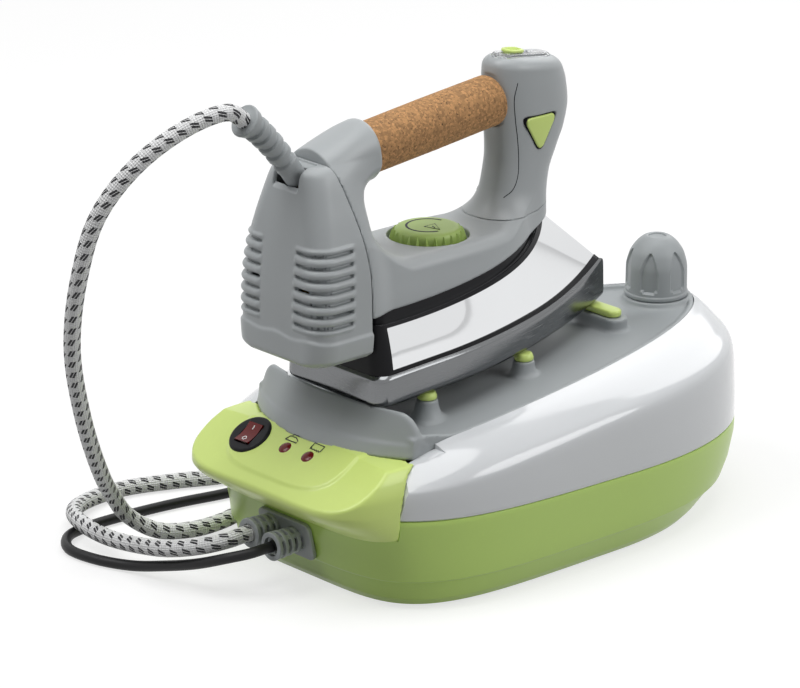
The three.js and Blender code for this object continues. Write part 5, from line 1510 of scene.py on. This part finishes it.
class IRON_OT_skirt(bpy.types.Operator):
    """Form the mirror skirt with black strips painted on as its dark reflections, and the heat shield above
    it
    """
    bl_idname = "steam_iron.skirt"
    bl_label = "Mirror skirt"

    def execute(self, context):
        foot, inner_foot = (sole_shoe(i, lambda x, y: sole_top(y) + GAP) for i in (3, 5))
        top, inner_top = (hood_shoe(i, lambda x, y: hood_top(y)) for i in (0, 1.8))
        shares = np.linspace(0, 1, 13)
        outer = [skirt_between(foot, top, t) for t in shares]
        inner = [skirt_between(inner_foot, inner_top, t) for t in shares[::-1]]
        skirt = piece("mirror_skirt", loft(outer + inner, True), "chrome", "iron", sharp=50)
        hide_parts("chrome_skirt")
        # A black strip over the heel end is a painted reflection: it stands for the dark that the chrome
        # reflects there.
        strip = []
        for k in range(-12, 13):
            up = [ring[k] for ring in outer]
            out = np.array([0.12 * np.sign(k) * max(abs(k) - 2, 0), -1.0 if abs(k) < 8 else -0.4, 0])
            out = out / np.linalg.norm(out)
            strip.append(np.array([p + out * 0.9 for p in up] + [p + out * 0.12 for p in up[::-1]]))
        piece("heel_band", loft(strip), "black_plastic", "iron", sharp=50)
        # Black bands round the skirt's foot and top are painted reflections of the dark outline that the
        # chrome shows.
        centre = np.array([0, (HEEL_Y + TIP_Y) / 2, 0])
        for name, t0, t1 in (("skirt_line_low", 0.0, 0.075), ("skirt_line_high", 0.925, 1.0)):
            rings = []
            for t, out in ((t0, 0.15), (t0, 0.75), (t1, 0.75), (t1, 0.15)):
                ring = skirt_between(foot, top, t)
                away = (ring - centre) * (1, 1, 0)
                away /= np.linalg.norm(away, axis=1)[:, None]
                rings.append(ring + away * out)
            piece(name, loft(rings, True), "black_plastic", "iron", sharp=50)

        def under(x, y):
            return hood_top(y) - 3

        def over(x, y):
            return body_floor(y) - GAP

        shell = [hood_shoe(2.4, under), hood_shoe(2.4, over), hood_shoe(4.8, over), hood_shoe(4.8, under)]
        shield = piece("heat_shield_wall", loft(shell, True), "black_plastic", "iron", sharp=50)
        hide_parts("heat_shield")
        return {"FINISHED"}


# ------------------------------------------------------------------ iron: body, column and cover
# Height of the pillar's sections and how far ahead of the heel they reach.
PILLAR = [(196, 22), (222, 20), (240, 16.5), (254, 15.5), (266, 20), (276, 27), (300, 28)]
# Height and half-width of the rear cover, bottom to top.
COVER_FOOT, COVER_TOP, COVER_WALL, LOUVRE_FOOT = 159, 283, 3.6, 185
COVER_LEVELS = [(COVER_FOOT, 38), (163, 41.5), (176, 42.5), (208, 41.5), (230, 39), (246, 35), (262, 30),
                (275, 25.5), (COVER_TOP, 21.5)]
# Column sections: height, rear and front edges from the column's axis, half-width.
COLUMN = [(205, -9, 43, 20), (224, -6.5, 43.5, 18.3), (240, -2.5, 46, 17.4), (256, 0, 53, 17.9),
          (270, -0.5, 59.5, 18.7), (285, -2, 62.5, 19.3), (300, -3, 60.5, 19.2), (309, -3, 57.5, 18.7),
          (322, -2, 55, 18)]
# Parting line down each side of the column: behind its axis, and height.
PARTING = [(8, 306), (6, 296), (7, 282), (9, 268), (10, 254), (9, 242), (5.5, 234), (-1, 229)]
SEAM_BACK = HEEL_Y + 97     # where the column's foot starts on the hull
KNOB_SEAT = HULL_TOP - 5    # floor of the knob's well
GRIP_FIT, GRIP_COLLAR, CORE_BORE = 0.4, 2.3, 5.1    # play round the cork, wall round it, bore for its core
LENS_Y, LENS_Z, LENS_TILT, LENS_HALF = COLUMN_Y + 25.5, 317.6, 0.14, 23
BUTTON_Y, BUTTON_Z, BUTTON_OUTER, BUTTON_INNER = COLUMN_Y + 26.5, 272.5, 19.6, 14
PICK_HALF, PICK_TOP, PICK_FOOT = 12.6, 8.6, 14.6    # the button's outline, from its own centre


def cover_half(z):
    return glide(z, *zip(*COVER_LEVELS))


def cover_front(z):
    return HEEL_Y - 1 - 15.5 * clamp01((z - 208) / 75) ** 1.5


def crown_frame():
    return Matrix.Translation((0, LENS_Y, LENS_Z)) @ Matrix.Rotation(-LENS_TILT, 4, "X")


def button_outline(grow, n=8):
    """Guitar-pick shape in (Y, Z), about the button's own centre."""
    w, top, low = PICK_HALF + grow, PICK_TOP + grow, -PICK_FOOT - grow

    def curve(a, b, c):
        return [tuple((1 - t) ** 2 * np.array(a) + 2 * t * (1 - t) * np.array(b) + t * t * np.array(c))
                for t in np.linspace(0, 1, n)]

    right = curve((w - 4, top), (w + 1.5, top), (w - 0.6, top - 5.5))
    foot = curve((4, low + 4.5), (0, low - 2.5), (-4, low + 4.5))
    left = curve((-w + 0.6, top - 5.5), (-w - 1.5, top), (-w + 4, top))
    return np.array((right + foot + left)[::-1])


def pick_field(y, z, grow):
    """Distance-like field of the same pick shape."""
    u, v = np.abs(y - BUTTON_Y), z - BUTTON_Z
    w, top, low = PICK_HALF + grow, PICK_TOP + grow, -PICK_FOOT - grow
    edge = np.array([w - 0.6 - 4, top - 5.5 - low - 4.5])
    normal = np.array([edge[1], -edge[0]]) / np.hypot(*edge)
    side = (u - 4) * normal[0] + (v - low - 4.5) * normal[1]
    side = trim(side, v - top, 4.0)
    return trim(side, low + 1.0 - v, 2.0)


def hull_side(x, y, heel):
    return shoe_field(x, y, heel, HEEL_Y + 190, SOLE_HALF - 9.5, HEEL_Y + 70, 3.2, 9)


def fused_field(x, y, z):
    """Hull, pillar and column as one flowing shape, before it is parted along its seams."""
    lean = glide(z, [184, 186, 204, 213, 235], [0.9, 0, 2.2, 3.6, 6])
    side = hull_side(x, y, HEEL_Y - 12) + lean
    hull = trim(side, (z - deck(y)) * 0.98, 8)
    seam = cover_front(z)
    ahead = glide(z, *zip(*PILLAR))
    rear_plan = oval_field(x, y, cover_half(z) - 0.2, 30, HEEL_Y + ahead - seam, seam, 2.2, 2.2)
    pillar = trim(rear_plan, (z - 299 - 0.33 * (y - GRIP_START[1])) * 0.95, 12)
    away, along = rod_field(x, y, z, GRIP_START, GRIP_AXIS)
    collar = trim(away - GRIP_RADIUS - GRIP_COLLAR - 0.2 * np.minimum(along, 0), along - 1.8, 2.2)
    pillar = weld(pillar, trim(collar, -50 - along, 6), 12)
    heights, *edges = zip(*COLUMN)
    rear, front, a = (glide(z, heights, edge) for edge in edges)
    reach = (front - rear) / 2
    front_plan = oval_field(x, y, a, reach, reach, COLUMN_Y + (front + rear) / 2, 2.5, 2.3)
    crown = (z - LENS_Z) * math.cos(LENS_TILT) + (y - LENS_Y) * math.sin(LENS_TILT)
    column = trim(front_plan, crown - 1.4, 8)
    plan = weld(weld(weld(side, rear_plan, 9), front_plan, 4), away - GRIP_RADIUS - GRIP_COLLAR, 10)
    whole = np.maximum(weld(weld(hull, pillar, 26), column, 20), plan)
    return trim(trim(whole, seam + GAP - y, 0.6), body_floor(y) - z, 1.2)


def seam_field(y, z):
    """Negative on the column's side of the seam."""
    return np.maximum(deck(y) + 3.2 - z, SEAM_BACK - y)


def body_field(x, y, z):
    body = np.maximum(fused_field(x, y, z), -seam_field(y, z) + 0.02)
    lean = glide(z, [184, 204, 213], [0.5, 2.2, 3.6])
    side = hull_side(x, y, HEEL_Y - 0.6) + lean
    roof = z - np.maximum(body_floor(y) + 3.4, HULL_TOP - 11)
    body = np.maximum(body, -np.maximum(side + HULL_WALL, roof))
    knob = np.hypot(x, y - KNOB_Y)
    body = carve(body, np.maximum(knob - KNOB_RADIUS - 1.6, KNOB_SEAT - z), 0.7)
    body = np.maximum(body, 4.2 - knob)
    away, along = rod_field(x, y, z, GRIP_START, GRIP_AXIS)
    body = carve(body, np.maximum(away - GRIP_RADIUS - GRIP_FIT, -0.8 - along), 0.6)
    body = np.maximum(body, -np.maximum(away - CORE_BORE, -14 - along))
    behind = np.maximum(y - cover_front(z) - 0.35, z - COVER_TOP - 0.6)
    return carve(body, behind, 0.4)


def column_field(x, y, z):
    body = np.maximum(fused_field(x, y, z), seam_field(y, z) + 0.02)
    away, along = rod_field(x, y, z, GRIP_START, GRIP_AXIS)
    body = carve(body, np.maximum(away - GRIP_RADIUS - GRIP_FIT, along - GRIP_LENGTH + 0.4), 0.6)
    body = np.maximum(body, -np.maximum(away - CORE_BORE, along - GRIP_LENGTH - 12.5))
    body = carve(body, pick_field(y, z, 0.7), 0.5)
    m = np.array(crown_frame().inverted())
    u, v, w = (m[k, 0] * x + m[k, 1] * y + m[k, 2] * z + m[k, 3] for k in range(3))
    pocket = np.hypot(u, np.maximum(np.abs(v) - LENS_HALF + 8, 0)) - 5.2
    body = carve(body, np.maximum(pocket, -7 - w), 0.4)
    seat = np.hypot(u, np.maximum(np.abs(v) - LENS_HALF + 8.2, 0)) - 8.6
    return np.maximum(body, -np.maximum(seat, 0.05 - w))


class IRON_OT_body(bpy.types.Operator):
    """Mould the iron's body with its rear pillar, and the front column"""
    bl_idname = "steam_iron.body"
    bl_label = "Iron body"

    def execute(self, context):
        body = moulded("iron_body_moulding", "iron_body", body_field, 1.15, "pale_grey_plastic", "iron",
                       below=4, above=4)
        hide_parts("iron_body")
        column = moulded("front_column_moulding", "front_column", column_field, 1.0, "pale_grey_plastic",
                         "iron", below=(6, 16, 6), above=4)
        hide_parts("front_column")
        for side, name in ((1, "right"), (-1, "left")):
            route = []
            for back, height in through(PARTING, 5):
                y, z = COLUMN_Y + back, height
                inner, outer = 0.0, 60.0
                for _ in range(24):
                    half = (inner + outer) / 2
                    if fused_field(np.array(half), np.array(y), np.array(z)) < 0:
                        inner = half
                    else:
                        outer = half
                route.append(np.array([side * (inner - 0.08), y, z]))
            piece("parting_line_" + name, tube(route, 0.3, 8), "black_plastic", "iron")
        return {"FINISHED"}


def cover_field(x, y, z, slots, pitch):
    back = HEEL_Y - 45.5 + 11 * clamp01((z - 195) / 90) ** 1.5
    front = cover_front(z)
    skin = trim(np.abs(x) - cover_half(z), back - y, 15)
    skin = trim(skin, (z - COVER_TOP) * 0.9, 5)
    skin = trim(skin, COVER_FOOT - z, 3)
    first, last = LOUVRE_FOOT, LOUVRE_FOOT + (slots - 1) * pitch
    mask = ramp((np.abs(x) - 14.5) / 4) * ramp((z - first + 5.5) / 3) * ramp((last + 5.5 - z) / 3)
    mask = mask * ramp((HEEL_Y - 14 + 0.5 * (z - first) / pitch - y) / 6)
    wave = (0.5 - 0.5 * np.cos(2 * np.pi * (z - first) / pitch)) ** 0.7
    crest = ramp((z - 175.5 - 0.9 * np.cos(x / 5)) / -2.4 + 0.5)
    shell = skin - 2.3 * mask * wave + 0.9 * mask - 1.5 * crest
    shell = np.maximum(shell, -skin - COVER_WALL)
    shell = trim(shell, y - front, 0.5)
    row = np.abs((z - first + pitch / 2) % pitch - pitch / 2)
    slot = np.hypot(row, np.maximum(18 - np.abs(x), 0)) - 1.25
    slot = np.maximum(slot, np.maximum(first - 2 - z, z - last - 2))
    slot = np.maximum(slot, y - HEEL_Y + 17 - 0.5 * (z - first) / pitch)
    slot = np.maximum(slot, -2.7 - skin)
    shell = carve(shell, slot, 0.25)
    away, along = rod_field(x, y, z, RELIEF_START, RELIEF_AXIS)
    shell = carve(shell, np.maximum(away - 7.8, -8 - along), 0.3)
    beside_axis = np.sqrt(np.maximum(away * away - x * x, 0))
    recess = trim(np.abs(x) - 12, beside_axis - 12.5, 4)
    return carve(shell, np.maximum(recess, -5.5 - along), 0.6)


class IRON_OT_rear_cover(bpy.types.Operator):
    """Mould the louvred rear cover"""
    bl_idname = "steam_iron.rear_cover"
    bl_label = "Rear cover"

    def execute(self, context):
        p = context.scene.steam_iron

        def field(x, y, z):
            return cover_field(x, y, z, p.slot_rows, p.slot_pitch * 1000)

        cover = moulded("rear_cover_moulding", "rear_cover", field, 0.95, "pale_grey_plastic", "iron",
                        below=2, above=1)
        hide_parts("rear_cover")
        return {"FINISHED"}


# ------------------------------------------------------------------ iron: grip and controls
# Waves that roughen the cork, as turns round the grip and drift along it, and their depth.
CORK_WAVES, CORK_DEPTH = ((7, 0.9), (13, -1.7), (23, 2.3)), 0.035


class IRON_OT_grip(bpy.types.Operator):
    """Turn the cork grip"""
    bl_idname = "steam_iron.grip"
    bl_label = "Cork grip"

    def execute(self, context):
        r, long = GRIP_RADIUS, GRIP_LENGTH - 2 * GAP
        profile = eased([(5, 0), (r - 1.4, 0), (r - 0.3, 2.4), (r, long / 2), (r - 0.3, long - 2.4),
                         (r - 1.4, long), (5, long)], 2.4)
        full = []
        for (r0, z0), (r1, z1) in zip(profile, profile[1:]):
            count = max(1, int(abs(z1 - z0) / 3))
            full += [(r0 + (r1 - r0) * t / count, z0 + (z1 - z0) * t / count) for t in range(count)]
        full += [profile[-1], profile[0]]

        def pitted(angle, radius, z):
            wobble = sum(np.sin(turns * angle + z * drift) for turns, drift in CORK_WAVES)
            return np.full(len(angle), radius) - CORK_DEPTH * np.abs(wobble) * float(radius > 8)

        start = frame_of(GRIP_START + GRIP_AXIS * (GAP - 0.5), GRIP_AXIS)
        grip = piece("cork_sleeve", turned(lathe(full, 120, shape=pitted), start), "cork", "iron")
        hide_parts("cork_grip")
        return {"FINISHED"}


class IRON_OT_knob(bpy.types.Operator):
    """Turn the thermostat knob with its ribs, dial arc and pointer"""
    bl_idname = "steam_iron.knob"
    bl_label = "Thermostat knob"

    def execute(self, context):
        ribs = context.scene.steam_iron.knob_ribs
        z0 = KNOB_SEAT + GAP
        r = KNOB_RADIUS - 2.6
        profile = eased([(3.3, 6.5), (3.3, 0), (r - 0.4, 0), (r, 0.6), (r - 0.6, 7.4), (r - 1.8, 9.4),
                         (r - 4.6, 10.3), (0, 10.9)], 1.1)
        hub = lathe([(0, 6.5)] + profile, 96, (0, KNOB_Y, z0))
        rib = loft([np.array([(-2.4, -wide / 2, z), (out - 0.7, -wide * 0.16, z), (out, 0, z),
                              (out - 0.7, wide * 0.16, z), (-2.4, wide / 2, z)])
                    for z, wide, out in ((0.6, 5.6, 2.3), (1.1, 5.7, 2.6), (3.4, 4.4, 2.2),
                                         (6.4, 2.6, 1.1), (8.6, 1.0, -0.2))])
        knob = repeat("knob_ribbed", "pattern round a wheel", hub, rib, "green_plastic", "knob",
                      Count=ribs, Radius=r / 1000, Centre=(0, KNOB_Y / 1000, z0 / 1000), sharp=28)
        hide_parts("thermostat_knob")
        at = Matrix.Translation((0, KNOB_Y, z0 + 10.42))
        dial = strokes([arc(14.2, 100, 345, 48)], 0.85)
        dial = (dial[0] * (1, 1, 0.55), dial[1])
        piece("knob_dial_print", turned(dial, at), "print_dark", "knob")
        wedge = strokes([[(1.2, -4.4), (1.2, 5.0), (12.4, -1.0), (1.2, -4.4)],
                         [(4.0, 0.2), (7.6, -0.9)]], 0.4)
        at = Matrix.Translation((0, KNOB_Y, z0 + 10.75))
        piece("knob_pointer", turned(wedge, at), "print_dark", "knob")
        return {"FINISHED"}


class IRON_OT_lens(bpy.types.Operator):
    """Set the ribbed clear window and its sliding key"""
    bl_idname = "steam_iron.lens"
    bl_label = "Window and slider"

    def execute(self, context):
        at = crown_frame()
        turn = Matrix.Rotation(math.pi / 2, 4, "Z")
        dome = turned(prism(stadium(2 * LENS_HALF, 16.4, 8, 14), GAP, GAP + 2.8, 1.5, 5), turn)
        stem = turned(prism(stadium(2 * LENS_HALF - 7, 9, 4.4, 8), -6.2, 0.5), turn)
        lens = piece("window", turned(dome, at), "clear_plastic", None)
        sculpt(lens, [turned(stem, at)], "UNION")
        groove = turned(prism([(-3.2, -16), (3.2, -16), (3.2, 8), (-3.2, 8)], GAP + 0.9, 10), at)
        sculpt(lens, [groove])
        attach(lens, "iron")
        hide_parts("indicator_lens")
        rib = prism(stadium(1.3, 8.6, 0.6, 4), 0, 0.5, 0.15)
        repeat("window_ribs", "pattern in a row", points_at([]), turned(rib, at.to_3x3().to_4x4()),
               "print_white", "iron", Count=14,
               Start=tuple(c / 1000 for c in at @ Vector((0, -19.5, -0.2))),
               Step=tuple(c / 1000 for c in at.to_3x3() @ Vector((0, 2.9, 0))))
        pad = prism(stadium(12, 15, 5, 8), 3.4, 5.6, 0.9)
        ridges = [turned(prism(stadium(8 - 0.6 * abs(k), 0.9, 0.44, 3), 5.3, 6.1, 0.25),
                         Matrix.Translation((0, 2.1 * k, 0))) for k in range(-2, 3)]
        key = prism(stadium(5.6, 13, 1), GAP + 1.2, 4)
        shape = turned(joined(pad, *ridges, key), at @ Matrix.Translation((0, -8, 0)))
        slider = piece("slider_key", shape, "lime_plastic", "slider", recalculate=False)
        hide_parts("steam_slider")
        return {"FINISHED"}


class IRON_OT_buttons(bpy.types.Operator):
    """Fit the two steam buttons in their dark surrounds"""
    bl_idname = "steam_iron.buttons"
    bl_label = "Steam buttons"

    def execute(self, context):
        turn = Matrix(((0, 0, 1, 0), (1, 0, 0, BUTTON_Y), (0, 1, 0, BUTTON_Z), (0, 0, 0, 1)))
        cap = turned(prism(button_outline(0), BUTTON_INNER, BUTTON_OUTER, 1.3, 4), turn)
        ring = turned(loft([np.column_stack([button_outline(g), np.full(24, h)]) for g, h in (
            (0.25, 13.2), (0.62, 13.2), (0.62, 18.75), (0.25, 18.75))], True), turn)
        for side, name in ((1, "right"), (-1, "left")):
            flip = Matrix.Diagonal((side, 1, 1, 1))
            button = piece("button_cap_" + name, turned(cap, flip), "lime_plastic", "button_" + name)
            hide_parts("steam_button_" + name)
            piece("button_surround_" + name, turned(ring, flip), "black_plastic", "iron")
        return {"FINISHED"}


# ------------------------------------------------------------------ settings, panel and order
class IronSettings(bpy.types.PropertyGroup):
    """Colours and sizes that a user would change."""
    lime: FloatVectorProperty(name="Lime", description="Lower shell, panel, pads and keys",
                              subtype="COLOR", size=3, default=(0.60, 0.74, 0.20), min=0, max=1)
    white: FloatVectorProperty(name="White", description="Upper shell", subtype="COLOR", size=3,
                               default=(0.70, 0.72, 0.74), min=0, max=1)
    grey: FloatVectorProperty(name="Grey", description="Tray, boiler cap and cord ports",
                              subtype="COLOR", size=3, default=(0.37, 0.395, 0.405), min=0, max=1)
    pale_grey: FloatVectorProperty(name="Pale grey", description="Body of the iron", subtype="COLOR",
                                   size=3, default=(0.42, 0.445, 0.455), min=0, max=1)
    cork: FloatVectorProperty(name="Cork", description="Middle tone of the grip", subtype="COLOR",
                              size=3, default=(0.47, 0.25, 0.10), min=0, max=1)
    wall: FloatProperty(name="Shell wall", description="Wall of the base shells, in mm", default=SHELL_WALL,
                        min=1.5, max=5)
    slot_rows: IntProperty(name="Louvre rows", description="Slots in the rear cover", default=7, min=2,
                           max=8)
    slot_pitch: FloatProperty(name="Louvre pitch", description="Height from slot to slot", unit="LENGTH",
                              default=0.0077, min=0.004, max=0.012)
    knob_ribs: IntProperty(name="Knob ribs", description="Grip ribs round the knob", default=24, min=6,
                           max=60)
    flutes: IntProperty(name="Cap flutes", description="Finger hollows round the boiler cap", default=6,
                        min=3, max=12)


OPERATORS = [
    FINISH_OT_all, STAGE_OT_studio, CORD_OT_steam_hose, CORD_OT_mains_lead, BASE_OT_lower_shell,
    BASE_OT_upper_shell, BASE_OT_tray, BASE_OT_control_panel, BASE_OT_switches, BASE_OT_glands,
    BASE_OT_feet, BASE_OT_rest_pads, BASE_OT_boiler_cap, IRON_OT_soleplate, IRON_OT_skirt, IRON_OT_body,
    IRON_OT_rear_cover, IRON_OT_grip, IRON_OT_knob, IRON_OT_lens, IRON_OT_buttons,
]


class VIEW3D_PT_steam_iron(bpy.types.Panel):
    """Sidebar panel with the settings and one button for each piece"""
    bl_idname = "VIEW3D_PT_steam_iron"
    bl_label = "Steam generator iron"
    bl_space_type = "VIEW_3D"
    bl_region_type = "UI"
    bl_category = "Steam iron"

    def draw(self, context):
        settings = context.scene.steam_iron
        for name in IronSettings.__annotations__:
            self.layout.prop(settings, name)
        for operator in OPERATORS:
            self.layout.operator(operator.bl_idname)


def register():
    for cls in (IronSettings, *OPERATORS, VIEW3D_PT_steam_iron):
        bpy.utils.register_class(cls)
    bpy.types.Scene.steam_iron = PointerProperty(type=IronSettings)


def unregister():
    del bpy.types.Scene.steam_iron
    for cls in (VIEW3D_PT_steam_iron, *reversed(OPERATORS), IronSettings):
        bpy.utils.unregister_class(cls)


def main():
    register()
    for operator in OPERATORS:
        group, name = operator.bl_idname.split(".")
        getattr(getattr(bpy.ops, group), name)()
    for scrap in [m for m in bpy.data.meshes if m.users == 0]:
        bpy.data.meshes.remove(scrap)


if __name__ == "__main__":
    main()
